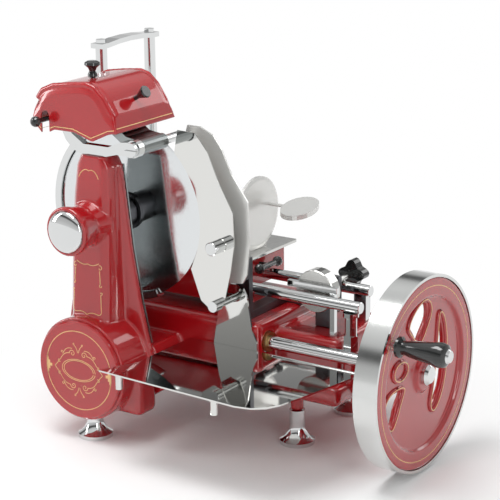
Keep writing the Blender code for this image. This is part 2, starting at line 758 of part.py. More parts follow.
def make_blade():
    """Blade, hub, shaft and the fixed spindle housing with its bearings."""
    axis = (COLUMN_X, BLADE_AXIS_Z)
    pivot = (COLUMN_X, BLADE_FRONT_Y, BLADE_AXIS_Z)
    back = BLADE_FRONT_Y + BLADE_THICK
    bm = bmesh.new()
    profile = [(BLADE_BORE_R, BLADE_FRONT_Y), (BLADE_R - BLADE_BEVEL, BLADE_FRONT_Y),
               (BLADE_R, back - GAP), (BLADE_R, back), (BLADE_BORE_R, back)]
    turned(bm, profile, "Y", axis, closed=True, steps=FINE_STEPS)
    add("blade", bm, mirror_steel(), pivot)

    bm = bmesh.new()
    front = BLADE_FRONT_Y - GAP - HUB_THICK
    profile = [(BLADE_BORE_R, BLADE_FRONT_Y - GAP), (HUB_R, BLADE_FRONT_Y - GAP),
               (HUB_R, front + HUB_THICK / 3), (HUB_BOSS_R, front), (BLADE_BORE_R, front)]
    turned(bm, profile, "Y", axis, closed=True)
    add("blade_hub", bm, dark_steel(), pivot)

    bm = bmesh.new()
    tip = CHAIN_Y - SPROCKET_WIDTH / 2 - GAP
    flange = back + GAP
    profile = [(0, tip), (BLADE_SHAFT_R, tip), (BLADE_SHAFT_R, flange), (HUB_R, flange),
               (HUB_R, flange + HUB_BACK_THICK), (0, flange + HUB_BACK_THICK)]
    turned(bm, profile, "Y", axis)
    add("blade_shaft", bm, ground_steel(), pivot)

    housing_back = front - GAP * 3
    housing_front = COLUMN_BACK_Y + BACK_PLATE_THICK + GAP * 2
    bm = bmesh.new()
    ring(bm, "Y", axis, HOUSING_R - HOUSING_WALL, HOUSING_R, housing_front, housing_back)
    add("spindle_housing", bm, dark_steel())

    bm = bmesh.new()
    outer = HOUSING_R - HOUSING_WALL - GAP
    inner = BLADE_SHAFT_R + GAP
    ring(bm, "Y", axis, inner, outer, housing_front, housing_back, steps=SMALL_STEPS)
    add("blade_bearing", bm, bronze())

    for name, level, radius, bore in (
            ("upper_sprocket", BLADE_AXIS_Z, UPPER_SPROCKET_R, BLADE_SHAFT_R),
            ("lower_sprocket", GEAR_AXIS_Z, LOWER_SPROCKET_R, LAY_SHAFT_R)):
        teeth = round(math.tau * radius / SPROCKET_PITCH)
        start = CHAIN_Y - SPROCKET_WIDTH / 2
        bm = bmesh.new()
        slab(bm, toothed(COLUMN_X, level, radius, SPROCKET_TOOTH, teeth), "Y",
             start, start + SPROCKET_WIDTH)
        wheel = add(name, bm, ground_steel(), (COLUMN_X, CHAIN_Y, level))
        bm = bmesh.new()
        rod(bm, "Y", (COLUMN_X, level), bore + GAP, start - OVERRUN,
            start + SPROCKET_WIDTH + OVERRUN, steps=SMALL_STEPS)
        cut(wheel, add(name + "_bore_tool", bm, ground_steel()))

    bm = bmesh.new()
    inner = belt(LOWER_SPROCKET_R + CHAIN_CLEAR, UPPER_SPROCKET_R + CHAIN_CLEAR)
    outer = belt(LOWER_SPROCKET_R + CHAIN_THICK, UPPER_SPROCKET_R + CHAIN_THICK)
    start = CHAIN_Y - SPROCKET_WIDTH / 2
    loops = []
    for outline in (inner, outer):
        for y in (start, start + SPROCKET_WIDTH):
            loops.append([bm.verts.new((a, y, u)) for a, u in outline])
    order = (loops[0], loops[1], loops[3], loops[2])
    count = len(loops[0])
    for one, two in zip(order, order[1:] + order[:1]):
        for i in range(count):
            j = (i + 1) % count
            bm.faces.new((one[i], one[j], two[j], two[i]))
    add("drive_chain", bm, dark_steel())


def make_guard():
    """The chrome channel that covers the blade's edge, open on the slicing side."""
    bm = bmesh.new()
    back = BLADE_FRONT_Y + GUARD_DEPTH - GUARD_WALL - GAP
    front = BLADE_FRONT_Y - GUARD_WALL - GAP * 2
    inner = GUARD_R - GUARD_LIP
    rim = GUARD_R - GUARD_WALL
    profile = [(inner, front), (GUARD_R, front), (GUARD_R, back), (rim, back),
               (rim, front + GUARD_WALL), (inner, front + GUARD_WALL)]
    rings = []
    for i in range(GUARD_STEPS + 1):
        angle = GUARD_START + GUARD_SWEEP * i / GUARD_STEPS
        rings.append([(COLUMN_X + r * math.cos(angle), a, BLADE_AXIS_Z + r * math.sin(angle))
                      for r, a in profile])
    loft(bm, rings)
    guard = add("guard_ring", bm, chrome())

    bm = bmesh.new()
    low = BLADE_AXIS_Z - GUARD_R
    start = COLUMN_BACK_Y + BACK_PLATE_THICK + GAP * 2
    block(bm, (COLUMN_X - GUARD_BRACKET_W, start, APRON_TOP_Z + GAP),
          (COLUMN_X, BLADE_FRONT_Y + GUARD_DEPTH - GUARD_WALL * 2, low + GUARD_WALL / 2))
    join(guard, add("guard_bracket_tool", bm, ground_steel()))


def make_drive():
    """Flywheel shaft, its bush and gear, and the lay shaft that they turn."""
    distance = SHAFT_Z - GEAR_AXIS_Z - GEAR_MESH_CLEAR
    lay_gear_r = distance / (1 + GEAR_RATIO)
    drive_gear_r = distance - lay_gear_r
    centre = (SHAFT_Y, SHAFT_Z)
    pivot = (WHEEL_FRONT_X, SHAFT_Y, SHAFT_Z)
    bm = bmesh.new()
    face = WHEEL_FRONT_X - WEB_SETBACK + GAP
    profile = [(0, SHAFT_LEFT_X), (SHAFT_R, SHAFT_LEFT_X), (SHAFT_R, face), (HUB_CAP_R, face),
               (HUB_CAP_R, face + HUB_CAP_DEPTH / 2), (HUB_CAP_R * 0.75, face + HUB_CAP_DEPTH * 0.9),
               (0, face + HUB_CAP_DEPTH)]
    turned(bm, profile, "X", centre)
    add("main_shaft", bm, chrome(), pivot)

    bm = bmesh.new()
    inside = HOUSING_RIGHT_X - BASE_WALL
    ring(bm, "X", centre, SHAFT_R + GAP, BUSH_R, inside, HOUSING_RIGHT_X + BASE_WALL / 2)
    add("shaft_bush", bm, bronze())

    bm = bmesh.new()
    start = COLUMN_X - GEAR_WIDTH / 2
    slab(bm, toothed(SHAFT_Y, SHAFT_Z, drive_gear_r, GEAR_TOOTH,
                     round(GEAR_TEETH * GEAR_RATIO)), "X",
         start, start + GEAR_WIDTH)
    gear = add("drive_gear", bm, ground_steel(), (COLUMN_X, SHAFT_Y, SHAFT_Z))
    bm = bmesh.new()
    rod(bm, "X", centre, SHAFT_R + GAP, start - OVERRUN, start + GEAR_WIDTH + OVERRUN)
    cut(gear, add("drive_gear_bore_tool", bm, ground_steel()))

    bm = bmesh.new()
    start = SHAFT_Y - GEAR_WIDTH / 2
    pivot = (COLUMN_X, SHAFT_Y, GEAR_AXIS_Z)
    slab(bm, toothed(COLUMN_X, GEAR_AXIS_Z, lay_gear_r, GEAR_TOOTH, GEAR_TEETH), "Y",
         start, start + GEAR_WIDTH)
    lay = add("lay_shaft", bm, ground_steel(), pivot)
    bm = bmesh.new()
    rod(bm, "Y", (COLUMN_X, GEAR_AXIS_Z), LAY_SHAFT_R, CHAIN_Y - SPROCKET_WIDTH / 2,
        SHAFT_Y + GEAR_WIDTH, steps=SMALL_STEPS)
    join(lay, add("lay_rod_tool", bm, ground_steel()))


# The web's openings about its hub, as shares of the wheel's radius
OPENING_SHARES = (
    ((-0.27, 0.553), (-0.232, 0.613), (-0.154, 0.683), (-0.076, 0.733), (0.005, 0.742),
     (0.068, 0.694), (0.091, 0.616), (0.072, 0.54), (-0.007, 0.46), (-0.065, 0.40),
     (-0.103, 0.35), (-0.144, 0.364), (-0.187, 0.458)),
    ((0.303, 0.48), (0.345, 0.478), (0.39, 0.397), (0.427, 0.282), (0.434, 0.122), (0.43, -0.036),
     (0.394, -0.206), (0.334, -0.305), (0.253, -0.386), (0.203, -0.402), (0.183, -0.31),
     (0.185, -0.198), (0.243, -0.117), (0.288, 0.059), (0.29, 0.269)),
    ((-0.721, -0.103), (-0.684, -0.034), (-0.626, -0.032), (-0.528, -0.047), (-0.43, -0.042),
     (-0.429, -0.094), (-0.487, -0.148), (-0.534, -0.215), (-0.561, -0.299), (-0.599, -0.358),
     (-0.637, -0.376), (-0.685, -0.34), (-0.71, -0.229)))


def make_flywheel():
    """Chrome rim, red web with its openings, hub cap and the crank with its grip."""
    centre = (SHAFT_Y, SHAFT_Z)
    pivot = (WHEEL_FRONT_X, SHAFT_Y, SHAFT_Z)
    back = WHEEL_FRONT_X - WHEEL_WIDTH
    bm = bmesh.new()
    ring(bm, "X", centre, WHEEL_R - RIM_THICK, WHEEL_R, back, WHEEL_FRONT_X, FINE_STEPS)
    add("flywheel_rim", bm, chrome(), pivot)

    bm = bmesh.new()
    web_front = WHEEL_FRONT_X - WEB_SETBACK
    web_back = web_front - WEB_THICK
    web_r = WHEEL_R - RIM_THICK - GAP
    floor = web_front - RECESS_DEPTH
    profile = [(SHAFT_R + GAP, WEB_HUB_BACK_X), (WEB_HUB_R, WEB_HUB_BACK_X),
               (WEB_HUB_R, web_back), (web_r, web_back), (web_r, web_front), (RECESS_R, web_front),
               (RECESS_R - RECESS_DEPTH / 2, floor), (WEB_HUB_R + RECESS_DEPTH, floor),
               (WEB_HUB_R, web_front), (SHAFT_R + GAP, web_front)]
    turned(bm, profile, "X", centre, closed=True, steps=FINE_STEPS)
    web = add("flywheel_web", bm, red(), pivot)
    bm = bmesh.new()
    for shares in OPENING_SHARES:
        outline = scaled(shares, SHAFT_Y, SHAFT_Z, WHEEL_R, WHEEL_R)
        slab(bm, eased(outline + outline[:1], 1)[:-1], "X", web_back - OVERRUN, web_front + OVERRUN)
    cut(web, add("petal_tool", bm, red()))

    start = web_front + GAP
    crank = (SHAFT_Y + CRANK_R * math.cos(CRANK_ANGLE), SHAFT_Z + CRANK_R * math.sin(CRANK_ANGLE))
    crank_pivot = (WHEEL_FRONT_X, *crank)
    boss_top = start + CRANK_BOSS_H
    collar_top = boss_top + PIN_COLLAR_H
    grip_end = collar_top + GRIP_LENGTH
    bm = bmesh.new()
    profile = [(0, start), (CRANK_BOSS_R, start), (CRANK_BOSS_R, boss_top), (PIN_COLLAR_R, boss_top),
               (PIN_COLLAR_R, collar_top), (PIN_R, collar_top), (PIN_R, grip_end + GAP),
               (END_CAP_R, grip_end + GAP), (END_CAP_R * 0.8, grip_end + END_CAP_H),
               (0, grip_end + END_CAP_H)]
    turned(bm, profile, "X", crank, steps=SMALL_STEPS)
    add("crank_pin", bm, chrome(), crank_pivot)

    bm = bmesh.new()
    first = collar_top + GAP
    length = grip_end - first
    bore = PIN_R + GRIP_CLEAR
    profile = [(bore, first), (GRIP_FLANGE_R, first), (GRIP_FLANGE_R, first + length * 0.05),
               (GRIP_NECK_R, first + length * 0.10), (GRIP_NECK_R, first + length * 0.18),
               (GRIP_NECK_R * 1.15, first + length * 0.24), (GRIP_END_R * 0.9, first + length * 0.7),
               (GRIP_END_R, first + length * 0.86), (GRIP_END_R * 0.9, first + length * 0.95),
               (END_CAP_R, grip_end), (bore, grip_end)]
    turned(bm, profile, "X", crank, closed=True, steps=SMALL_STEPS)
    add("crank_grip", bm, black(), crank_pivot)


# Slides, dial and plates

def make_rods():
    """The two carriage rods and what holds them up."""
    bm = bmesh.new()
    rod(bm, "X", (FRONT_ROD_Y, FRONT_ROD_Z), ROD_R, ROD_LEFT_X, FRONT_ROD_RIGHT_X, SMALL_STEPS, GAP * 3)
    add("front_rod", bm, chrome())
    bm = bmesh.new()
    rod(bm, "X", (REAR_ROD_Y, REAR_ROD_Z), ROD_R, ROD_LEFT_X, REAR_ROD_RIGHT_X, SMALL_STEPS, GAP * 3)
    add("rear_rod", bm, chrome())

    bm = bmesh.new()
    nut_top = BOSS_TOP_Z + GAP + NUT_H
    rod(bm, "Z", (POST_X, FRONT_ROD_Y), NUT_R, BOSS_TOP_Z + GAP, nut_top, steps=6)
    post = add("rod_post", bm, chrome())
    bm = bmesh.new()
    top = FRONT_ROD_Z - ROD_R - GAP
    profile = [(0, nut_top - NUT_H / 2), (POST_R, nut_top - NUT_H / 2), (POST_R, top - COLLAR_H),
               (COLLAR_R, top - COLLAR_H * 0.8), (COLLAR_R, top), (0, top)]
    turned(bm, profile, "Z", (POST_X, FRONT_ROD_Y), steps=SMALL_STEPS)
    join(post, add("post_tool", bm, chrome()))

    half = STAND_W / 2
    depth = half * STAND_DEPTH_SHARE
    stands = (("left_rod_bridge", STAND_X, FRONT_ROD_Y, REAR_ROD_Y, REAR_ROD_Z, DECK_Z),
              ("rear_rod_stand", STAND_RIGHT_X, REAR_ROD_Y, REAR_ROD_Y, REAR_ROD_Z, SIDE_DECK_Z))
    for name, x, y_first, y_last, z, deck in stands:
        bm = bmesh.new()
        block(bm, (x - half, y_first - depth, deck + GAP), (x + half, y_last + depth, z - ROD_R / 2))
        stand = add(name, bm, chrome())
        bm = bmesh.new()
        rod(bm, "X", (REAR_ROD_Y, REAR_ROD_Z), ROD_R + GAP, x - half - OVERRUN,
            x + half + OVERRUN, SMALL_STEPS)
        cut(stand, add(name + "_tool", bm, chrome()))
    bm = bmesh.new()
    front_low = REAR_ROD_Z - ROD_R / 2
    block(bm, (STAND_X - half, FRONT_ROD_Y - depth, front_low - OVERRUN),
          (STAND_X + half, FRONT_ROD_Y + depth, FRONT_ROD_Z - ROD_R / 2))
    join(OBJECTS["left_rod_bridge"], add("bridge_top_tool", bm, chrome()))
    bm = bmesh.new()
    rod(bm, "X", (FRONT_ROD_Y, FRONT_ROD_Z), ROD_R + GAP, STAND_X - half - OVERRUN,
        STAND_X + half + OVERRUN, SMALL_STEPS)
    cut(OBJECTS["left_rod_bridge"], add("bridge_bore_tool", bm, chrome()))

    bm = bmesh.new()
    half = TIE_W / 2
    block(bm, (TIE_LEFT_X, TIE_Y - half, TIE_Z - TIE_H / 2),
          (TIE_RIGHT_X, TIE_Y + half, TIE_Z + TIE_H / 2), GAP * 3)
    bar = add("scale_bar", bm, chrome())
    bm = bmesh.new()
    block(bm, (TIE_RIGHT_X - TIE_W * 1.5, TIE_Y - half, SIDE_DECK_Z + GAP),
          (TIE_RIGHT_X - TIE_W / 2, TIE_Y + half, TIE_Z))
    join(bar, add("bar_stand_tool", bm, chrome()))


def make_dial():
    """The silver thickness dial, its lobed knob and the stand that carries its shaft."""
    centre = (DIAL_X, DIAL_Z)
    pivot = (DIAL_X, DIAL_Y, DIAL_Z)
    bm = bmesh.new()
    rod(bm, "Y", centre, DIAL_R, DIAL_Y, DIAL_Y + DIAL_DEPTH, chamfer=COVER_EDGE / 2)
    drum = add("dial_drum", bm, aluminium(), pivot)
    bm = bmesh.new()
    rod(bm, "Y", centre, DIAL_SHAFT_R, DIAL_Y + DIAL_DEPTH / 2, KNOB_Y + GAP * 3, SMALL_STEPS)
    join(drum, add("dial_shaft_tool", bm, aluminium()))

    bm = bmesh.new()
    outline = []
    for i in range(KNOB_LOBES * 8):
        angle = math.tau * i / (KNOB_LOBES * 8)
        radius = KNOB_R - KNOB_LOBE + KNOB_LOBE * math.cos(angle * KNOB_LOBES)
        outline.append((DIAL_X + radius * math.cos(angle), DIAL_Z + radius * math.sin(angle)))
    slab(bm, outline, "Y", KNOB_Y + GAP * 4, KNOB_Y + KNOB_DEPTH)
    add("dial_knob", bm, black(), pivot)

    bm = bmesh.new()
    half = DIAL_STAND_X_W / 2
    back = DIAL_Y + DIAL_DEPTH + GAP
    block(bm, (DIAL_X - half, back, SIDE_DECK_Z + GAP),
          (DIAL_X + half, back + DIAL_STAND_W, DIAL_Z + DIAL_SHAFT_R * 2), GAP * 5)
    stand = add("dial_stand", bm, dark_steel())
    bm = bmesh.new()
    rod(bm, "Y", centre, DIAL_SHAFT_R + GAP, back - OVERRUN, back + DIAL_STAND_W + OVERRUN, SMALL_STEPS)
    cut(stand, add("dial_bore_tool", bm, dark_steel()))


# Plate outlines about the blade axis, as shares of the blade radius
GAUGE_SHARES = ((1.329, -0.661), (1.507, -0.639), (1.564, -0.536), (1.607, -0.129),
                (1.586, 0.286), (1.379, 0.564), (1.25, 0.829), (1.136, 0.979), (0.964, 1.057),
                (0.8, 1.057))
DEFLECTOR_SHARES = ((0.914, -0.529), (1.043, -0.871), (1.186, -0.968), (1.314, -0.929),
                    (1.364, -0.814), (1.436, -0.521), (1.493, -0.171), (1.479, 0.186),
                    (1.286, 0.529), (1.157, 0.821), (0.993, 1.014), (0.764, 1.021))
LOWER_PLATE_SHARES = ((1.071, -1.461), (1.657, -1.461), (1.657, -1.314), (1.593, -1.171),
                      (1.529, -0.793), (1.486, -0.714), (1.414, -0.679), (1.321, -0.679),
                      (1.229, -0.786), (1.143, -1.043))


def arc_edge(radius, first_point, last_point, count=14):
    """An arc about the blade axis that closes an outline from its last point to its first."""
    first, last = (math.atan2(z - BLADE_AXIS_Z, x - COLUMN_X)
                   for x, z in (last_point, first_point))
    return arc(COLUMN_X, BLADE_AXIS_Z, radius, first, last, count)[1:-1]


def make_plates():
    """Gauge plate with its arm, the lower plate, and the slice deflector with its knobs."""
    pivot = (DIAL_X, GAUGE_Y, DIAL_Z)
    back = GAUGE_Y + GAUGE_THICK
    bm = bmesh.new()
    outline = scaled(GAUGE_SHARES, COLUMN_X, BLADE_AXIS_Z, BLADE_R, BLADE_R)
    outline += arc_edge(BLADE_R + GAUGE_CLEAR, outline[0], outline[-1])
    slab(bm, outline, "Y", GAUGE_Y, back)
    add("gauge_plate", bm, mirror_steel(), pivot)

    bm = bmesh.new()
    near = LOWER_PLATE_Y + GAUGE_TRAVEL + GAP * 2
    low = DECK_Z + GAP
    far = LINK_Y + ARM_DEPTH
    outline = [(back + GAP, ARM_PAD_Z), (near, ARM_PAD_Z), (near, low), (far, low),
               (far, low + ARM_HEIGHT), (near + ARM_DEPTH, low + ARM_HEIGHT),
               (near + ARM_DEPTH, ARM_TOP_Z), (back + GAP, ARM_TOP_Z)]
    slab(bm, outline, "X", ARM_LEFT_X, ARM_LEFT_X + ARM_WIDTH)
    arm = add("gauge_arm", bm, dark_steel(), pivot)
    bm = bmesh.new()
    half = LINK_EYE_W / 2
    outline = [(ARM_LEFT_X + ARM_WIDTH / 2, low), (DIAL_X + half, low),
               (DIAL_X + half, DIAL_Z + half), (DIAL_X - half, DIAL_Z + half),
               (DIAL_X - half, low + ARM_HEIGHT), (ARM_LEFT_X + ARM_WIDTH / 2, low + ARM_HEIGHT)]
    slab(bm, outline, "Y", LINK_Y, far)
    join(arm, add("link_tool", bm, dark_steel()))
    bm = bmesh.new()
    rod(bm, "Y", (DIAL_X, DIAL_Z), DIAL_SHAFT_R + GAP, LINK_Y - OVERRUN, far + OVERRUN, SMALL_STEPS)
    cut(arm, add("link_bore_tool", bm, dark_steel()))

    bm = bmesh.new()
    front = DEFLECTOR_Y - DEFLECTOR_THICK
    outline = scaled(DEFLECTOR_SHARES, COLUMN_X, BLADE_AXIS_Z, BLADE_R, BLADE_R)
    outline += arc_edge(GUARD_R + DEFLECTOR_CLEAR, outline[0], outline[-1])
    slab(bm, outline, "Y", front, DEFLECTOR_Y)
    plate = add("deflector", bm, mirror_steel())

    bm = bmesh.new()
    outline = scaled(LOWER_PLATE_SHARES, COLUMN_X, BLADE_AXIS_Z, BLADE_R, BLADE_R)
    slab(bm, outline, "Y", LOWER_PLATE_Y - GAUGE_THICK, LOWER_PLATE_Y)
    add("lower_plate", bm, mirror_steel())

    bm = bmesh.new()
    rod(bm, "Y", (PEG_X, PEG_Z), PEG_KNOB_R, front - GAP - PEG_KNOB_L, front - GAP, SMALL_STEPS,
        COVER_EDGE / 2)
    add("deflector_knob", bm, chrome(), (PEG_X, front, PEG_Z))

    bm = bmesh.new()
    stud_end = LOWER_PLATE_Y - GAUGE_THICK - GAP
    profile = [(0, front - GAP - SMALL_KNOB_L), (SMALL_KNOB_R, front - GAP - SMALL_KNOB_L),
               (SMALL_KNOB_R, front - GAP), (SPACER_R, front - GAP), (SPACER_R, stud_end),
               (0, stud_end)]
    turned(bm, profile, "Y", (SPACER_X, SPACER_Z), steps=SMALL_STEPS)
    add("deflector_stud", bm, chrome())
    bm = bmesh.new()
    rod(bm, "Y", (SPACER_X, SPACER_Z), SPACER_R + GAP, front - OVERRUN, DEFLECTOR_Y + OVERRUN, SMALL_STEPS)
    cut(plate, add("stud_bore_tool", bm, mirror_steel()))


# The tray's outline from its front left tip, as shares of its length and depth
TRAY_SHARES = ((-0.09, -0.929), (0.734, -1), (0.814, -0.976), (0.872, -0.911), (0.904, -0.812),
               (0.933, -0.637), (1, -0.11))


def make_tray():
    """The polished tray and the two studs under its front edge."""
    bm = bmesh.new()
    back_y = LOWER_PLATE_Y - GAUGE_THICK - GAP
    front = scaled(TRAY_SHARES, TRAY_LEFT_X, back_y, TRAY_LENGTH, TRAY_DEPTH)
    outline = front + [(front[-1][0], back_y), (TRAY_LEFT_X, back_y), (TRAY_LEFT_X, TRAY_NOTCH_Y)]
    slab(bm, outline, "Z", TRAY_Z - TRAY_THICK, TRAY_Z)
    tray = add("tray", bm, mirror_steel())

    bm = bmesh.new()
    top = TRAY_Z - TRAY_THICK / 2
    (x0, y0), (x1, y1) = front[:2]
    for x in (STUD_LEFT_X, STUD_RIGHT_X):
        y = y0 + (y1 - y0) * (x - x0) / (x1 - x0) + STUD_SETBACK
        half = STUD_TAB / 2
        tab = top - TRAY_THICK * 1.5
        profile = [(0, top), (half, top), (half, tab), (STUD_R, tab),
                   (STUD_R, top - STUD_H), (0, top - STUD_H)]
        turned(bm, profile, "Z", (x, y), steps=SMALL_STEPS)
    join(tray, add("tray_studs_tool", bm, chrome()))


def make_carriage():
    """The red carriage on its rods, with the feed lever and the feed screw."""
    pivot = (CARRIAGE_RIGHT_X, FRONT_ROD_Y, FRONT_ROD_Z)
    inner_top = CARRIAGE_TOP_Z - CARRIAGE_DECK
    bm = bmesh.new()
    block(bm, (CARRIAGE_LEFT_X, CARRIAGE_FRONT_Y, CARRIAGE_SKIRT_Z),
          (CARRIAGE_RIGHT_X, CARRIAGE_BACK_Y, CARRIAGE_TOP_Z), GAP * 8)
    body = add("carriage", bm, red(), pivot)
    bm = bmesh.new()
    block(bm, (CARRIAGE_LEFT_X - OVERRUN, CARRIAGE_FRONT_Y + CARRIAGE_WALL / 2,
               CARRIAGE_SKIRT_Z - OVERRUN),
          (CARRIAGE_RIGHT_X - CARRIAGE_WALL, CARRIAGE_BACK_Y - CARRIAGE_WALL, inner_top))
    cut(body, add("carriage_room_tool", bm, red()))
    for name, y, z in (("front_rod_bore_tool", FRONT_ROD_Y, FRONT_ROD_Z),
                       ("rear_rod_bore_tool", REAR_ROD_Y, REAR_ROD_Z)):
        bm = bmesh.new()
        rod(bm, "X", (y, z), ROD_R + GAP, CARRIAGE_RIGHT_X - CARRIAGE_WALL - OVERRUN,
            CARRIAGE_RIGHT_X + OVERRUN, SMALL_STEPS)
        cut(body, add(name, bm, red()))
    bm = bmesh.new()
    first = CARRIAGE_FRONT_Y + CARRIAGE_WALL
    last = CARRIAGE_BACK_Y - CARRIAGE_WALL
    half = FEED_SCREW_R + FEED_SLOT_CLEAR
    block(bm, (FEED_SCREW_X - half, first, inner_top - OVERRUN),
          (FEED_SCREW_X + half, last, CARRIAGE_TOP_Z + OVERRUN))
    cut(body, add("feed_slot_tool", bm, red()))
    bm = bmesh.new()
    level = (inner_top + CARRIAGE_TOP_Z) / 2
    rod(bm, "Y", (FEED_SCREW_X, level), FEED_SCREW_R, first + GAP, last - GAP, SMALL_STEPS)
    add("feed_screw", bm, ground_steel(), (FEED_SCREW_X, LEVER_Y, level))

    pivot = (LEVER_X, LEVER_Y, LEVER_Z)
    bm = bmesh.new()
    ball = [(LEVER_BALL_R * math.sin(math.pi * i / 8), LEVER_HALF + LEVER_BALL_R
             * math.cos(math.pi * i / 8)) for i in range(7)] + [(LEVER_ROD_R, LEVER_BALL_R * 2)]
    profile = [(r, LEVER_Y - a) for r, a in ball] + [(r, LEVER_Y + a) for r, a in reversed(ball)]
    turned(bm, profile, "Y", (LEVER_X, LEVER_Z), steps=SMALL_STEPS)
    lever = add("feed_lever", bm, black(), pivot)
    bm = bmesh.new()
    rod(bm, "X", (LEVER_Y, LEVER_Z), LEVER_ROD_R * 0.8, CARRIAGE_RIGHT_X + GAP,
        LEVER_X + LEVER_ROD_R / 2, SMALL_STEPS)
    join(lever, add("lever_stud_tool", bm, black()))


def make_table():
    """The meat table with its fence posts, press, and the round holder with its handle."""
    low = CARRIAGE_TOP_Z + GAP
    top = low + TABLE_THICK
    pivot = (TABLE_RIGHT_X, TABLE_FRONT_Y, low)
    bm = bmesh.new()
    block(bm, (TABLE_LEFT_X, TABLE_FRONT_Y, low), (TABLE_RIGHT_X, TABLE_BACK_Y, top), GAP * 4)
    add("meat_table", bm, aluminium(), pivot)

    bar_low = FENCE_TOP_Z - FENCE_BAR_H
    for name, y in (("fence_post_front", POST_FRONT_Y), ("fence_post_back", POST_BACK_Y)):
        bm = bmesh.new()
        rod(bm, "Z", (POST_FENCE_X, y), POST_FENCE_R, top + GAP, bar_low - GAP, SMALL_STEPS)
        add(name, bm, chrome(), pivot)

    bm = bmesh.new()
    reach = (POST_BACK_Y - POST_FRONT_Y) / 2 + FENCE_BAR_W / 2
    middle = (POST_BACK_Y + POST_FRONT_Y) / 2
    half = FENCE_FLAT_SHARE / 2
    shares = [-1, -FENCE_FLAT_SHARE, -half, 0, half, FENCE_FLAT_SHARE, 1]
    rise = [FENCE_BAR_ARCH * max(0, 1 - (share / FENCE_FLAT_SHARE) ** 2) for share in shares]
    under = [(middle + reach * share, bar_low + r) for share, r in zip(shares, rise)]
    over = [(y, z + FENCE_BAR_H) for y, z in reversed(under)]
    slab(bm, under + over, "X", POST_FENCE_X - FENCE_BAR_W / 2, POST_FENCE_X + FENCE_BAR_W / 2)
    bar = add("fence_bar", bm, chrome(), pivot)
    for name, y in (("front_nut_tool", POST_FRONT_Y), ("back_nut_tool", POST_BACK_Y)):
        bm = bmesh.new()
        rod(bm, "Z", (POST_FENCE_X, y), FENCE_NUT_R, FENCE_TOP_Z - FENCE_NUT_H / 2,
            FENCE_TOP_Z + FENCE_NUT_H, 6)
        join(bar, add(name, bm, chrome()))

    bm = bmesh.new()
    half = FENCE_BAR_W / 2
    block(bm, (POST_FENCE_X - half, POST_FRONT_Y - half, PRESS_Z),
          (POST_FENCE_X + half, POST_BACK_Y + half, PRESS_Z + PRESS_H), GAP * 4)
    press = add("meat_press", bm, chrome(), (POST_FENCE_X, middle, PRESS_Z))
    for name, y in (("press_bore_front_tool", POST_FRONT_Y), ("press_bore_back_tool", POST_BACK_Y)):
        bm = bmesh.new()
        rod(bm, "Z", (POST_FENCE_X, y), POST_FENCE_R + GAP, PRESS_Z - OVERRUN,
            PRESS_Z + PRESS_H + OVERRUN, SMALL_STEPS)
        cut(press, add(name, bm, chrome()))
    bm = bmesh.new()
    inset = POST_FENCE_R * 2
    block(bm, (POST_FENCE_X + half - GAP, POST_FRONT_Y + inset, PRESS_Z + PRESS_THICK / 2),
          (POST_FENCE_X + half + PRESS_REACH, POST_BACK_Y - inset,
           PRESS_Z + PRESS_THICK * 1.5))
    join(press, add("press_plate_tool", bm, chrome()))

    pivot = (HOLDER_X, HOLDER_Y, top)
    bm = bmesh.new()
    centre = (HOLDER_Y, top + GAP + HOLDER_R)
    profile = [(0, HOLDER_X - HOLDER_THICK), (HOLDER_R * 0.97, HOLDER_X - HOLDER_THICK),
               (HOLDER_R, HOLDER_X - HOLDER_THICK * 0.7), (HOLDER_R, HOLDER_X),
               (HOLDER_R * 0.9, HOLDER_X + HOLDER_THICK * 0.3), (0, HOLDER_X + HOLDER_THICK * 0.5)]
    turned(bm, profile, "X", centre, steps=40)
    holder = add("meat_holder", bm, mirror_steel(), pivot)
    bm = bmesh.new()
    half = HOLDER_R * 0.4
    block(bm, (HOLDER_X - HOLDER_THICK * 0.8, HOLDER_Y - half, top + GAP),
          (HOLDER_X - GAP, HOLDER_Y + half, top + HOLDER_FOOT_H))
    join(holder, add("holder_foot_tool", bm, mirror_steel()))

    bm = bmesh.new()
    rod(bm, "X", (HANDLE_Y, HANDLE_Z), HANDLE_THICK * 0.35, HOLDER_X, HANDLE_X, SMALL_STEPS)
    join(holder, add("handle_stem_tool", bm, mirror_steel()))
    bm = bmesh.new()
    oval = ellipse(HANDLE_X, HANDLE_Y, HANDLE_HALF_X, HANDLE_HALF_Y, ROUND_STEPS)
    rise = [HANDLE_Z + (y - HANDLE_Y) * math.tan(HANDLE_TILT) for _, y in oval]
    loft(bm, [[(x, y, z + HANDLE_THICK * side) for (x, y), z in zip(oval, rise)]
              for side in (-0.5, 0.5)])
    join(holder, add("handle_tool", bm, mirror_steel()))


# Sharpener outlines from the pivot, as shares of the hood's length and height
YOKE_LEFT_SHARES = ((-0.622, -0.198), (-0.707, -0.147), (-0.793, 0.011), (-0.866, 0.294),
                    (-0.768, 0.339), (-0.72, 0.136), (-0.585, -0.023), (-0.293, -0.023),
                    (-0.146, 0.09))
YOKE_RIGHT_SHARES = ((-0.195, -0.136), (-0.323, -0.198))
HOOD_LOWER_SHARES = ((-1.122, 0.316), (-0.994, 0.079), (-0.854, 0.192), (-0.628, 0.192),
                     (-0.415, 0.068), (-0.213, 0.237), (-0.122, 0.26))
HOOD_UPPER_SHARES = ((-0.171, 0.565), (-0.28, 0.904), (-0.39, 1.04), (-0.488, 1.079),
                     (-0.701, 1.04), (-0.915, 0.972), (-1.037, 0.847), (-1.104, 0.621))
CARRIER_ARM_SHARES = ((-0.146, 0.158), (-0.268, 0.316), (-0.305, 0.746), (-0.366, 0.746),
                      (-0.354, 0.226), (-0.195, 0.023))


def from_pivot(shares):
    """A sharpener outline in machine places."""
    return scaled(shares, PIVOT_X, PIVOT_Z, HOOD_LENGTH, HOOD_HEIGHT)


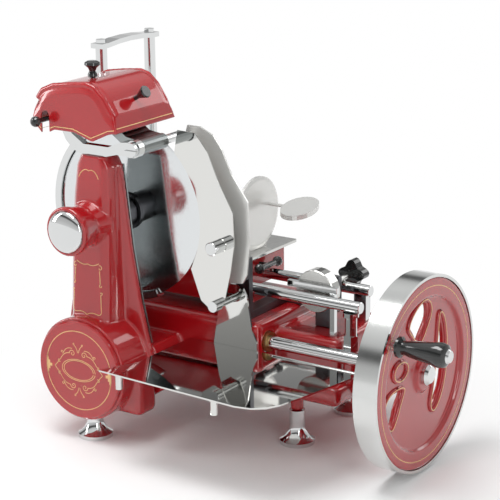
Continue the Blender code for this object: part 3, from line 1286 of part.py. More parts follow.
def make_yoke():
    """The chrome yoke on the column and the cross pin that carries the sharpener."""
    bm = bmesh.new()
    eye = arc(PIVOT_X, PIVOT_Z, YOKE_EYE_R, math.radians(135), math.radians(-120), 12)
    outline = from_pivot(YOKE_LEFT_SHARES) + eye + from_pivot(YOKE_RIGHT_SHARES)
    slab(bm, outline, "Y", YOKE_Y - YOKE_THICK / 2, YOKE_Y + YOKE_THICK / 2)
    yoke = add("sharpener_yoke", bm, chrome())
    bm = bmesh.new()
    rod(bm, "Y", (PIVOT_X, PIVOT_Z), PIVOT_R + GAP, YOKE_Y - YOKE_THICK, YOKE_Y + YOKE_THICK, SMALL_STEPS)
    cut(yoke, add("yoke_bore_tool", bm, chrome()))

    bm = bmesh.new()
    head = YOKE_Y - YOKE_THICK / 2 - GAP
    profile = [(0, head - PIVOT_HEAD_H), (PIVOT_HEAD_R, head - PIVOT_HEAD_H), (PIVOT_HEAD_R, head),
               (PIVOT_R, head), (PIVOT_R, PIVOT_BACK_Y), (0, PIVOT_BACK_Y)]
    turned(bm, profile, "Y", (PIVOT_X, PIVOT_Z), steps=SMALL_STEPS)
    pin = add("yoke_pin", bm, chrome())
    bm = bmesh.new()
    block(bm, (PIVOT_X - PIVOT_HEAD_R * 2, head - PIVOT_HEAD_H - OVERRUN, PIVOT_Z - SCREW_SLOT / 2),
          (PIVOT_X + PIVOT_HEAD_R * 2, head - PIVOT_HEAD_H / 2, PIVOT_Z + SCREW_SLOT / 2))
    cut(pin, add("pin_slot_tool", bm, chrome()))


def make_sharpener():
    """Hood, carrier, stones, knobs and lever, which tip together about the cross pin."""
    pivot = (PIVOT_X, YOKE_Y, PIVOT_Z)
    bm = bmesh.new()
    lower = from_pivot(HOOD_LOWER_SHARES)
    upper = eased(from_pivot(HOOD_UPPER_SHARES))
    slab(bm, lower + upper, "Y", HOOD_FRONT_Y, HOOD_BACK_Y)
    ends = (HOOD_FRONT_Y, HOOD_BACK_Y)
    top_edges = [e for e in bm.edges
                 if any(all(abs(v.co.y - y) < GAP for v in e.verts) for y in ends)
                 and min(v.co.z for v in e.verts) > lower[0][1] + GAP]
    bmesh.ops.bevel(bm, geom=top_edges, offset=HOOD_EDGE_R, segments=3, affect="EDGES",
                    profile=0.5)
    hood = add("sharpener_hood", bm, red(), pivot)
    bm = bmesh.new()
    middle_x = (lower[-1][0] + lower[0][0]) / 2
    width = lower[-1][0] - lower[0][0]
    share = 1 - 2 * HOOD_WALL / width
    floor = lower[0][1] - OVERRUN * 8
    room = [(lower[0][0] + HOOD_WALL, floor), (lower[-1][0] - HOOD_WALL * 1.5, floor)]
    room += [(middle_x + (x - middle_x) * share, z - HOOD_WALL) for x, z in upper]
    slab(bm, room, "Y", HOOD_FRONT_Y + HOOD_WALL, HOOD_BACK_Y - HOOD_WALL)
    cut(hood, add("hood_room_tool", bm, red()))
    bm = bmesh.new()
    slot = [(SHARP_LEVER_X - SLOT_HALF_W, floor), (SHARP_LEVER_X + SLOT_HALF_W, floor)]
    slot += arc(SHARP_LEVER_X, SLOT_TOP_Z - SLOT_HALF_W, SLOT_HALF_W, 0, math.pi, 8)
    slab(bm, slot, "Y", HOOD_FRONT_Y - OVERRUN, HOOD_FRONT_Y + HOOD_WALL + OVERRUN)
    cut(hood, add("lever_slot_tool", bm, red()))

    bm = bmesh.new()
    left = SHARP_LEVER_X - SHARP_LEVER_ROD_R
    arm = from_pivot(CARRIER_ARM_SHARES)
    block(bm, (left, CARRIER_FRONT_Y, CARRIER_Z),
          (arm[2][0], CARRIER_BACK_Y, CARRIER_Z + CARRIER_H))
    carrier = add("sharpener_carrier", bm, ground_steel(), pivot)
    bm = bmesh.new()
    eye = arc(PIVOT_X, PIVOT_Z, CARRIER_EYE_R, math.radians(-125), math.radians(110), 12)
    slab(bm, eye + arm, "Y", CARRIER_FRONT_Y + GAP, CARRIER_ARM_BACK_Y)
    join(carrier, add("carrier_arm_tool", bm, ground_steel()))
    front_stone = BLADE_FRONT_Y - STONE_BLADE_GAP
    back_stone = BLADE_FRONT_Y + BLADE_THICK + STONE_BLADE_GAP
    for name, y in (("front_hanger_tool", HANGER_Y),
                    ("back_hanger_tool", CARRIER_BACK_Y - HANGER_T - GAP)):
        bm = bmesh.new()
        half = STONE_SPINDLE_R * 2
        block(bm, (COLUMN_X - half, y, STONE_Z - half), (COLUMN_X + half, y + HANGER_T,
                                                         CARRIER_Z + CARRIER_H / 2))
        join(carrier, add(name, bm, ground_steel()))
    bm = bmesh.new()
    rod(bm, "Y", (PIVOT_X, PIVOT_Z), PIVOT_R + GAP, CARRIER_FRONT_Y - OVERRUN,
        CARRIER_ARM_BACK_Y + OVERRUN, SMALL_STEPS)
    cut(carrier, add("carrier_bore_tool", bm, ground_steel()))
    bm = bmesh.new()
    rod(bm, "Y", (COLUMN_X, STONE_Z), STONE_SPINDLE_R + GAP, HANGER_Y - OVERRUN,
        CARRIER_BACK_Y + OVERRUN, SMALL_STEPS)
    cut(carrier, add("spindle_bore_tool", bm, ground_steel()))

    for name, near, far, tip in (
            ("grinding_stone", front_stone, front_stone - WHEEL_STONE_T, HANGER_Y - GAP),
            ("honing_stone", back_stone, back_stone + WHEEL_STONE_T, CARRIER_BACK_Y + GAP)):
        bm = bmesh.new()
        profile = [(0, near), (WHEEL_STONE_R, near), (WHEEL_STONE_R, far),
                   (STONE_SPINDLE_R, far), (STONE_SPINDLE_R, tip), (0, tip)]
        turned(bm, profile, "Y", (COLUMN_X, STONE_Z), steps=SMALL_STEPS)
        add(name, bm, stone(), (COLUMN_X, near, STONE_Z))

    bm = bmesh.new()
    centre = (TOP_KNOB_X, TOP_KNOB_Y)
    deck = max(z for _, z in upper) + GAP
    stem = STONE_SPINDLE_R
    profile = [(0, CARRIER_Z + CARRIER_H + GAP), (stem, CARRIER_Z + CARRIER_H + GAP), (stem, deck),
               (TOP_KNOB_R * 0.6, deck), (TOP_KNOB_R * 0.6, deck + TOP_KNOB_H * 0.12),
               (TOP_KNOB_R * 0.4, deck + TOP_KNOB_H * 0.35),
               (TOP_KNOB_R * 0.55, deck + TOP_KNOB_H * 0.55),
               (TOP_KNOB_R, deck + TOP_KNOB_H * 0.75), (TOP_KNOB_R * 0.95, deck + TOP_KNOB_H * 0.9),
               (TOP_KNOB_R * 0.6, deck + TOP_KNOB_H), (0, deck + TOP_KNOB_H)]
    turned(bm, profile, "Z", centre, steps=SMALL_STEPS)
    add("hood_knob", bm, black(), (*centre, deck))
    bm = bmesh.new()
    rod(bm, "Z", centre, stem + GAP, CARRIER_Z + CARRIER_H * 2, deck + OVERRUN, SMALL_STEPS)
    cut(hood, add("hood_knob_bore_tool", bm, red()))

    (x0, z0), (x1, z1) = from_pivot(HOOD_UPPER_SHARES)[:2]
    lean = math.atan2(z1 - z0, x0 - x1)
    bm = bmesh.new()
    profile = [(0, GAP), (SIDE_KNOB_R * 0.35, GAP), (SIDE_KNOB_R * 0.35, SIDE_KNOB_L * 0.3),
               (SIDE_KNOB_R, SIDE_KNOB_L * 0.9), (SIDE_KNOB_R * 0.9, SIDE_KNOB_L), (0, SIDE_KNOB_L)]
    turned(bm, profile, "Z", (0, 0), steps=SMALL_STEPS)
    knob = add("hood_side_knob", bm, black())
    knob.location = ((x0 + x1) / 2, HOOD_BACK_Y - HOOD_EDGE_R * 5, (z0 + z1) / 2)
    knob.rotation_euler = (0, lean, 0)

    bm = bmesh.new()
    tip = HOOD_FRONT_Y - SHARP_LEVER_OUT
    swell = [(SHARP_LEVER_BALL_R * math.sin(math.pi * i / 8),
              tip - SHARP_LEVER_BALL_R * math.cos(math.pi * i / 8)) for i in range(7)]
    profile = swell + [(SHARP_LEVER_ROD_R, tip + SHARP_LEVER_BALL_R),
                       (SHARP_LEVER_ROD_R, SHARP_LEVER_BACK_Y), (0, SHARP_LEVER_BACK_Y)]
    turned(bm, profile, "Y", (SHARP_LEVER_X, SHARP_LEVER_Z), steps=SMALL_STEPS)
    top = CARRIER_Z - GAP * 3
    lever = add("sharpening_lever", bm, black(), (SHARP_LEVER_X, SHARP_LEVER_BACK_Y, top))
    bm = bmesh.new()
    rod(bm, "Z", (SHARP_LEVER_X, SHARP_LEVER_BACK_Y - SHARP_LEVER_ROD_R / 2),
        SHARP_LEVER_ROD_R * 0.8, SHARP_LEVER_Z, top, 12)
    join(lever, add("lever_arm_tool", bm, black()))


def centre_on_floor():
    """Move everything so that the middle of the footprint is the origin, feet at zero."""
    bpy.context.view_layer.update()
    corners = [item.matrix_world @ vertex.co for item in OBJECTS.values()
               if not item.hide_render for vertex in item.data.vertices]
    low = Vector([min(c[i] for c in corners) for i in range(3)])
    high = Vector([max(c[i] for c in corners) for i in range(3)])
    shift = Vector(((low.x + high.x) / 2, (low.y + high.y) / 2, low.z))
    for item in OBJECTS.values():
        item.location -= shift
    bpy.context.view_layer.update()


clear_scene()
make_column()
make_column_trim()
make_base()
make_feet()
make_blade()
make_guard()
make_drive()
make_flywheel()
make_rods()
make_dial()
make_plates()
make_tray()
make_carriage()
make_table()
make_yoke()
make_sharpener()
centre_on_floor()
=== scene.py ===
"""Hand crank meat slicer: finishes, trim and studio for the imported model."""
import json
import math

import bmesh
import bpy
from mathutils import Matrix, Vector
from mathutils.bvhtree import BVHTree


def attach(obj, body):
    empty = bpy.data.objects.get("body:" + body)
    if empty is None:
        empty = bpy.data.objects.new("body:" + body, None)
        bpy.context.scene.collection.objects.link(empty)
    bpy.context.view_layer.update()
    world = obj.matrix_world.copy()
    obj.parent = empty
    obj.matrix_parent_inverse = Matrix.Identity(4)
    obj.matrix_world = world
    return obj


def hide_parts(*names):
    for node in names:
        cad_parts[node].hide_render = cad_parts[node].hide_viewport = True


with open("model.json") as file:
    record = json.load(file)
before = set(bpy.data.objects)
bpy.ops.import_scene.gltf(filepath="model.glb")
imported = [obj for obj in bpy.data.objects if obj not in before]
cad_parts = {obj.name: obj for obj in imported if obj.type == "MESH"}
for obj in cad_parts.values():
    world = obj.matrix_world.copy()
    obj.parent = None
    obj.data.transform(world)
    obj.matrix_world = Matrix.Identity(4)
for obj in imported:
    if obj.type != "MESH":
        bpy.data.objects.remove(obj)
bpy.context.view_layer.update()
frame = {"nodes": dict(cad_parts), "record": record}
NODES = frame["nodes"]

# The model's drawings use machine places: X from the blade axis, Z up from the floor
SHIFT = Vector((0.21915, 0.005, 0.0))
BLADE_Z = 0.346
GEAR_Z = 0.119
SHAFT_Y = 0.019
SHAFT_Z = 0.156
FRONT = Vector((0, -1, 0))
RIGHT = Vector((1, 0, 0))


def at(x, y, z):
    """A machine place in the scene."""
    return Vector((x, y, z)) - SHIFT


# Shader helpers

NOISE_CLOUD = (14.0, 4.0)       # scale and detail of each noise
NOISE_SMEAR = (55.0, 2.0)
NOISE_WAVE = (38.0, 1.0)
NOISE_GRAIN = (1600.0, 1.0)
NOISE_LINES = (1.0, 2.0)
WAVE_HEIGHT = 0.001             # how high each bump stands at full strength
GRAIN_HEIGHT = 0.0002
LINE_HEIGHT = 0.0003
LACQUER_ROUGH = 0.02


def new_group(name, inputs, outputs):
    """A shader node group with its sockets, and its input and output nodes."""
    group = bpy.data.node_groups.new(name, "ShaderNodeTree")
    for kind, label, value in inputs:
        socket = group.interface.new_socket(label, in_out="INPUT", socket_type=kind)
        socket.default_value = value
    for kind, label in outputs:
        group.interface.new_socket(label, in_out="OUTPUT", socket_type=kind)
    return group, group.nodes.new("NodeGroupInput"), group.nodes.new("NodeGroupOutput")


def noise(tree, source, kind):
    """Noise over a place, of a scale and detail."""
    node = tree.nodes.new("ShaderNodeTexNoise")
    node.inputs["Scale"].default_value, node.inputs["Detail"].default_value = kind
    tree.links.new(source, node.inputs["Vector"])
    return node.outputs["Fac"]


def math_node(tree, operation, *sources):
    """What a Math node makes of its sources."""
    node = tree.nodes.new("ShaderNodeMath")
    node.operation = operation
    for source, socket in zip(sources, node.inputs):
        tree.links.new(source, socket)
    return node.outputs[0]


def bump(tree, distance, height, strength):
    """A Bump node of a height at full strength."""
    node = tree.nodes.new("ShaderNodeBump")
    node.inputs["Distance"].default_value = distance
    tree.links.new(height, node.inputs["Height"])
    tree.links.new(strength, node.inputs["Strength"])
    return node


def make_handled():
    """Handled metal or paint: cloudy roughness, faint smears, and a shallow uneven surface."""
    group, start, end = new_group(
        "handled_surface",
        (("NodeSocketFloat", "Roughness", 0.1), ("NodeSocketFloat", "Smear", 0.05),
         ("NodeSocketFloat", "Wave", 0.02), ("NodeSocketFloat", "Grain", 0.0)),
        (("NodeSocketFloat", "Roughness"), ("NodeSocketVector", "Normal"),
         ("NodeSocketFloat", "Cloud")))
    where = group.nodes.new("ShaderNodeTexCoord").outputs["Object"]
    cloud = noise(group, where, NOISE_CLOUD)
    both = math_node(group, "MULTIPLY", cloud, noise(group, where, NOISE_SMEAR))
    rough = math_node(group, "MULTIPLY_ADD", both, start.outputs["Smear"], start.outputs["Roughness"])
    wave = bump(group, WAVE_HEIGHT, noise(group, where, NOISE_WAVE), start.outputs["Wave"])
    grain = bump(group, GRAIN_HEIGHT, noise(group, where, NOISE_GRAIN), start.outputs["Grain"])
    group.links.new(wave.outputs["Normal"], grain.inputs["Normal"])
    group.links.new(rough, end.inputs["Roughness"])
    group.links.new(cloud, end.inputs["Cloud"])
    group.links.new(grain.outputs["Normal"], end.inputs["Normal"])
    return group


def make_brushed():
    """Fine straight polishing lines along one direction, as roughness and bump."""
    group, start, end = new_group(
        "polishing_lines",
        (("NodeSocketVector", "Stretch", (900.0, 12.0, 12.0)), ("NodeSocketFloat", "Roughness", 0.1),
         ("NodeSocketFloat", "Depth", 0.05)),
        (("NodeSocketFloat", "Roughness"), ("NodeSocketVector", "Normal")))
    scaled = group.nodes.new("ShaderNodeVectorMath")
    scaled.operation = "MULTIPLY"
    group.links.new(group.nodes.new("ShaderNodeTexCoord").outputs["Object"], scaled.inputs[0])
    group.links.new(start.outputs["Stretch"], scaled.inputs[1])
    lines = noise(group, scaled.outputs["Vector"], NOISE_LINES)
    rough = math_node(group, "MULTIPLY", lines, start.outputs["Roughness"])
    raised = bump(group, LINE_HEIGHT, lines, start.outputs["Depth"])
    group.links.new(rough, end.inputs["Roughness"])
    group.links.new(raised.outputs["Normal"], end.inputs["Normal"])
    return group


HANDLED = make_handled()
BRUSHED = make_brushed()


def finish_from(name, effect, values):
    """A new material whose roughness and normal come from a group with its own values."""
    made = bpy.data.materials.new(name)
    made.use_nodes = True
    tree = made.node_tree
    shader = tree.nodes["Principled BSDF"]
    group = tree.nodes.new("ShaderNodeGroup")
    group.node_tree = effect
    for label, value in values.items():
        group.inputs[label].default_value = value
    for label in ("Roughness", "Normal"):
        tree.links.new(group.outputs[label], shader.inputs[label])
    return made, shader, group


def surface(name, colour, second, metallic, rough, smear, wave, grain=0.0, coat=0.0):
    """A finish whose colour drifts between two close tones, over the handled surface."""
    made, shader, group = finish_from(
        name, HANDLED, {"Roughness": rough, "Smear": smear, "Wave": wave, "Grain": grain})
    tree = made.node_tree
    mix = tree.nodes.new("ShaderNodeMix")
    mix.data_type = "RGBA"
    mix.inputs["A"].default_value = (*colour, 1)
    mix.inputs["B"].default_value = (*second, 1)
    tree.links.new(group.outputs["Cloud"], mix.inputs["Factor"])
    tree.links.new(mix.outputs["Result"], shader.inputs["Base Color"])
    shader.inputs["Metallic"].default_value = metallic
    shader.inputs["Coat Weight"].default_value = coat
    shader.inputs["Coat Roughness"].default_value = LACQUER_ROUGH
    return made


def lined(name, colour, stretch, rough, depth):
    """A polished metal with straight polishing lines."""
    made, shader, _ = finish_from(
        name, BRUSHED, {"Stretch": stretch, "Roughness": rough, "Depth": depth})
    shader.inputs["Base Color"].default_value = (*colour, 1)
    shader.inputs["Metallic"].default_value = 1.0
    return made


RED = surface("red_enamel_paint", (0.40, 0.0035, 0.007), (0.35, 0.003, 0.006),
              metallic=0.0, rough=0.25, smear=0.05, wave=0.006, coat=1.0)
CHROME = surface("chrome_plating", (0.74, 0.75, 0.75), (0.68, 0.69, 0.69),
                 metallic=1.0, rough=0.03, smear=0.08, wave=0.006)
RIM = surface("polished_rim", (0.72, 0.73, 0.72), (0.66, 0.67, 0.66),
              metallic=1.0, rough=0.13, smear=0.15, wave=0.006)
MIRROR = lined("mirror_steel_sheet", (0.74, 0.74, 0.72), (900.0, 900.0, 10.0), rough=0.10, depth=0.004)
TRAY = lined("mirror_tray_sheet", (0.72, 0.72, 0.70), (8.0, 700.0, 700.0), rough=0.08, depth=0.003)
SATIN = surface("satin_plate", (0.76, 0.76, 0.74), (0.70, 0.70, 0.68),
                metallic=0.55, rough=0.22, smear=0.1, wave=0.004)
BLADE = lined("blade_steel", (0.74, 0.76, 0.77), (300.0, 300.0, 300.0), rough=0.22, depth=0.004)
STEEL = surface("ground_steel_face", (0.36, 0.38, 0.38), (0.30, 0.32, 0.32),
                metallic=1.0, rough=0.20, smear=0.15, wave=0.006, grain=0.1)
DARK = surface("dark_oiled_steel", (0.10, 0.10, 0.11), (0.15, 0.15, 0.16),
               metallic=1.0, rough=0.25, smear=0.2, wave=0.02, grain=0.3)
BLACK = surface("black_gloss_plastic", (0.008, 0.009, 0.009), (0.014, 0.015, 0.015),
                metallic=0.0, rough=0.14, smear=0.1, wave=0.02, grain=0.05, coat=0.5)
BRONZE = surface("bearing_bronze", (0.50, 0.32, 0.13), (0.42, 0.25, 0.10),
                 metallic=1.0, rough=0.30, smear=0.2, wave=0.02, grain=0.3)
STONE = surface("abrasive_stone", (0.34, 0.32, 0.31), (0.20, 0.19, 0.18),
                metallic=0.0, rough=0.85, smear=0.1, wave=0.02, grain=1.0)
ALLOY = surface("satin_alloy", (0.66, 0.66, 0.64), (0.58, 0.58, 0.56),
                metallic=1.0, rough=0.16, smear=0.15, wave=0.006, grain=0.1)
GOLD = surface("gold_line_paint", (0.80, 0.50, 0.22), (0.70, 0.42, 0.17),
               metallic=0.0, rough=0.35, smear=0.1, wave=0.01, coat=0.3)

FINISHES = {
    "red_enamel": RED, "chrome_plate": CHROME, "mirror_steel": MIRROR, "dark_steel": DARK,
    "ground_steel": STEEL, "black_plastic": BLACK, "bronze": BRONZE, "grinding_stone": STONE,
    "polished_aluminium": ALLOY,
}
OWN_FINISH = {"tray": TRAY, "blade": BLADE, "flywheel_rim": RIM, "gauge_plate": SATIN,
              "meat_holder": SATIN}
SLOT_OF = {part["node"]: part["material_slot"] for part in frame["record"]["subparts"]}
BODY_OF = {node: body for body, nodes in frame["record"]["behaviour"]["bodies"].items()
           for node in nodes}


def finish_for(name):
    """The finish of a node: its own, or that of its slot."""
    return OWN_FINISH.get(name, FINISHES[SLOT_OF[name]])


for name in SLOT_OF:
    for material_slot in NODES[name].material_slots:
        material_slot.material = finish_for(name)


# Mesh helpers

def piece(name, bm, finish, body, smooth=True, angle=35):
    """Make one object of a bmesh drawn in machine places, riding on a body."""
    bmesh.ops.recalc_face_normals(bm, faces=bm.faces)
    bmesh.ops.translate(bm, verts=bm.verts, vec=-SHIFT)
    mesh = bpy.data.meshes.new(name)
    bm.to_mesh(mesh)
    bm.free()
    mesh.materials.append(finish)
    if smooth:
        mesh.shade_smooth()
        mesh.set_sharp_from_angle(angle=math.radians(angle))
    made = bpy.data.objects.new(name, mesh)
    bpy.context.collection.objects.link(made)
    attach(made, body)
    return made


def bridge(bm, low, high):
    """A band of faces between two rings with the same number of points."""
    for k in range(len(low)):
        m = (k + 1) % len(low)
        bm.faces.new((low[k], low[m], high[m], high[k]))


def cap(bm, rings):
    """The end faces of a row of rings."""
    bm.faces.new(list(reversed(rings[0])))
    bm.faces.new(rings[-1])


ASIDE = Vector((0, 1, 0.01))    # a direction that no bar here runs along


def tube(bm, points, radius, sides=8):
    """A closed round bar along a line of points."""
    rings = []
    for i, point in enumerate(points):
        ahead = (points[min(i + 1, len(points) - 1)] - points[max(i - 1, 0)]).normalized()
        side = ahead.cross(ASIDE).normalized()
        up = side.cross(ahead)
        rings.append([bm.verts.new(point + side * (radius * math.cos(a)) + up * (radius * math.sin(a)))
                      for a in (math.tau * k / sides for k in range(sides))])
    for low, high in zip(rings, rings[1:]):
        bridge(bm, low, high)
    cap(bm, rings)


# Turned pieces

FINE_SIDES = 112
SAME_POINT = 2e-6       # points of a node that are one point
SEAM = 1e-6             # points of a fine copy that meet where its turn closes
ON_AXIS = 1e-5          # a radius below this is on the axis
SAME_TURN = 0.004       # radians between points of one outline
CRANK_R = 0.1265
CRANK_TURN = math.radians(144)
SPINDLE = (0.0, BLADE_Z)
SHAFT = (SHAFT_Y, SHAFT_Z)
CRANK = (SHAFT_Y + CRANK_R * math.cos(CRANK_TURN), SHAFT_Z + CRANK_R * math.sin(CRANK_TURN))

# Each turned piece with the way that its axis runs, and the machine place of the axis across that way
TURNED = (
    ("flywheel_rim", "X", SHAFT),
    ("main_shaft", "X", SHAFT),
    ("crank_grip", "X", CRANK),
    ("crank_pin", "X", CRANK),
    ("front_rod", "X", (0.042, 0.230)),
    ("rear_rod", "X", (0.147, 0.222)),
    ("spindle_cap", "Y", SPINDLE),
    ("blade", "Y", SPINDLE),
    ("blade_hub", "Y", SPINDLE),
    ("spindle_housing", "Y", SPINDLE),
    ("gear_cover", "Y", (0.0, GEAR_Z)),
    ("deflector_knob", "Y", (0.184, 0.318)),
    ("deflector_stud", "Y", (0.177, 0.222)),
    ("foot_front", "Z", (0.0, -0.128)),
    ("foot_right_front", "Z", (0.286, 0.018)),
    ("foot_right_back", "Z", (0.286, 0.180)),
    ("foot_left_back", "Z", (0.0, 0.180)),
    ("fence_post_front", "Z", (-0.140, 0.092)),
    ("fence_post_back", "Z", (-0.140, 0.223)),
    ("hood_knob", "Z", (-0.026, -0.073)),
)


def profile_of(bm, axis, origin):
    """The (radius, place) outline of a turned solid, in order, and whether it is a closed loop.

    The outline is None where the solid isn't one that a single outline gives.
    """
    a_index = "XYZ".index(axis)
    one, two = [i for i in range(3) if i != a_index]
    spots = {}
    for vert in bm.verts:
        u = vert.co[one] - origin[one]
        v = vert.co[two] - origin[two]
        spots[vert] = (math.hypot(u, v), vert.co[a_index], math.atan2(v, u))
    chosen = max(spots.values())[2]
    line = {vert: (r, a) for vert, (r, a, turn) in spots.items()
            if r < ON_AXIS or abs(math.remainder(turn - chosen, math.tau)) < SAME_TURN}
    near = {vert: [e.other_vert(vert) for e in vert.link_edges if e.other_vert(vert) in line]
            for vert in line}
    ends = [vert for vert in near if len(near[vert]) == 1]
    if any(len(found) not in (1, 2) for found in near.values()) or len(ends) not in (0, 2):
        return None, False
    first = ends[0] if ends else next(iter(near))
    path = [first]
    while True:
        more = [vert for vert in near[path[-1]] if vert not in path[-2:]]
        if not more or more[0] is first:
            break
        path.append(more[0])
    if len(path) != len(line):
        return None, False
    points = [line[vert] for vert in path]
    if ends:
        points = [(0, points[0][1])] * (points[0][0] > ON_AXIS) + points
        points = points + [(0, points[-1][1])] * (points[-1][0] > ON_AXIS)
    return points, not ends


def respin(name, axis, centre):
    """Stand a finer turned copy in for a turned node. A node without a single outline stays."""
    origin = {"X": at(0, *centre), "Y": at(centre[0], 0, centre[1]), "Z": at(*centre, 0)}[axis]
    source = bmesh.new()
    source.from_mesh(NODES[name].data)
    bmesh.ops.remove_doubles(source, verts=source.verts, dist=SAME_POINT)
    points, closed = profile_of(source, axis, origin)
    source.free()
    if not points:
        return
    along = Vector([float(axis == letter) for letter in "XYZ"])
    out = Vector((0, 1, 0)) if axis == "X" else RIGHT
    base = origin - along * origin.dot(along)
    bm = bmesh.new()
    verts = [bm.verts.new(base + out * r + along * a + SHIFT) for r, a in points]
    edges = [bm.edges.new(pair) for pair in zip(verts, verts[1:])]
    if closed:
        edges.append(bm.edges.new((verts[-1], verts[0])))
    bmesh.ops.spin(bm, geom=verts + edges, cent=base + SHIFT, axis=along, angle=math.tau,
                   steps=FINE_SIDES, use_duplicate=False)
    bmesh.ops.remove_doubles(bm, verts=bm.verts, dist=SEAM)
    made = piece(name + "_fine", bm, finish_for(name), BODY_OF[name])
    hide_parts(name)


for name, axis, centre in TURNED:
    respin(name, axis, centre)


# Castings

CAST_SOFTENING = 0.5    # share of the way that each smoothing round moves a point
# The hood's crown from its left end to its right end, in machine places (x, z)
CROWN = ((-0.096, 0.532), (-0.086, 0.545), (-0.066, 0.5535), (-0.035, 0.558), (0.0, 0.5615),
         (0.014, 0.558), (0.030, 0.544), (0.046, 0.520), (0.050, 0.510))
CROWN_EDGES_Y = (-0.1205, 0.0145)
CROWN_FILLET_R = 0.0052


def crown_fillets(bm):
    """The thick inside corners of the hood, where its crown meets its front and back walls."""
    for y in CROWN_EDGES_Y:
        tube(bm, [at(x, y, z) for x, z in CROWN], CROWN_FILLET_R)


def cast(name, voxel, rounds, extra=None):
    """Stand a finer copy in for a cast piece, with its edges and inner corners softly rounded."""
    mesh = NODES[name].data.copy()
    if extra:
        bm = bmesh.new()
        bm.from_mesh(mesh)
        extra(bm)
        bmesh.ops.recalc_face_normals(bm, faces=bm.faces)
        bm.to_mesh(mesh)
        bm.free()
    made = bpy.data.objects.new(name + "_casting", mesh)
    bpy.context.collection.objects.link(made)
    skin = made.modifiers.new("fine_skin", "REMESH")
    skin.mode = "VOXEL"
    skin.voxel_size = voxel
    skin.use_smooth_shade = True
    soft = made.modifiers.new("rounded_edges", "SMOOTH")
    soft.factor = CAST_SOFTENING
    soft.iterations = rounds
    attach(made, BODY_OF[name])
    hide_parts(name)
    return made


COLUMN = cast("column", voxel=0.0018, rounds=10)
HOOD = cast("sharpener_hood", voxel=0.0014, rounds=10, extra=crown_fillets)
cast("flywheel_web", voxel=0.0015, rounds=5)
cast("base_casting", voxel=0.0022, rounds=8)


# Painted lines

LIFT = 0.00015          # how far painted lines stand off their surface
LINE = 0.0013           # widths of painted strokes
PANEL_LINE = 0.0011
SCROLL_LINE = 0.0010


def ribbon(bm, points, width, normal, closed=False):
    """A thin flat painted stroke along points that lie on a surface."""
    rings = []
    count = len(points)
    for i, point in enumerate(points):
        after = points[(i + 1) % count] if closed else points[min(i + 1, count - 1)]
        before = points[i - 1] if closed else points[max(i - 1, 0)]
        side = normal.cross((after - before).normalized()).normalized() * (width / 2)
        top = normal * LIFT
        rings.append([bm.verts.new(p) for p in (point - side + top, point + side + top,
                                                point + side - top, point - side - top)])
    for low, high in zip(rings, rings[1:]):
        bridge(bm, low, high)
    if closed:
        bridge(bm, rings[-1], rings[0])
    else:
        cap(bm, rings)


def circle(radius, count=96):
    """Points (across, up) of a circle about zero."""
    angles = [math.radians(360.0 * i / count) for i in range(count)]
    return [(radius * math.cos(a), radius * math.sin(a)) for a in angles]


CURL_END_SHARE = 0.12   # what is left of a curl's radius at its middle


def curl(across, up, radius, turns, start, hand=1, count=22):
    """A spiral stroke that winds in to its middle."""
    points = []
    for i in range(count + 1):
        share = i / count
        a = math.radians(start) + hand * math.tau * turns * share
        r = radius * (1 - share) + radius * CURL_END_SHARE
        points.append((across + r * math.cos(a), up + r * math.sin(a)))
    return points


def bowed(first, middle, last, count=12):
    """A stroke between two points, drawn towards a middle one."""
    points = []
    for i in range(count + 1):
        s = i / count
        points.append(tuple(a * (1 - s) ** 2 + b * 2 * s * (1 - s) + c * s * s
                            for a, b, c in zip(first, middle, last)))
    return points


def even(points, step=0.003):
    """Fill an open line with points a small step apart."""
    filled = []
    for (x0, z0), (x1, z1) in zip(points, points[1:]):
        count = max(1, round(math.hypot(x1 - x0, z1 - z0) / step))
        filled += [(x0 + (x1 - x0) * i / count, z0 + (z1 - z0) * i / count) for i in range(count)]
    return filled + [points[-1]]


# The gear cover's ornament, in places (across, up) from the cover's middle

COVER_Y = -0.1643       # the cover's front face
COVER_RING_R = 0.0637
FIELD_STROKES = 9       # strokes side by side that fill a pointed field
FIELD_STROKE = 0.0047
FIELD_TURN = 4.2        # degrees from one stroke to the next
FIELD_LEAST = 0.0005
FIELD_REACH = 0.010
OVAL_X = 0.0290
OVAL_Z = 0.0155
OVAL_GROWS = (1.0, 1.13)
BERRY = (0.0085, 0.0420)
BERRY_R = 0.0013


def cover_point(point):
    return Vector((point[0], COVER_Y, GEAR_Z + point[1]))


def wreath_quarter():
    """The scrolls of the wreath's upper right quarter, with a berry at their top."""
    return [
        bowed((0.0475, 0), (0.039, 0.008), (0.0335, 0.0165)),
        bowed((0.0335, 0.0165), (0.027, 0.026), (0.0165, 0.026)),
        curl(0.0115, 0.0262, 0.0052, 1.25, 0),
        bowed((0.0300, 0.0235), (0.024, 0.036), (0.012, 0.034)),
        curl(0.0325, 0.0255, 0.0028, 1.0, 250, hand=-1),
        curl(0.0385, 0.0105, 0.0026, 1.0, 220),
        bowed((0.0010, 0.0285), (0.002, 0.036), (0.0075, 0.0405)),
        [(x + BERRY[0], z + BERRY[1]) for x, z in circle(BERRY_R, count=8)]]


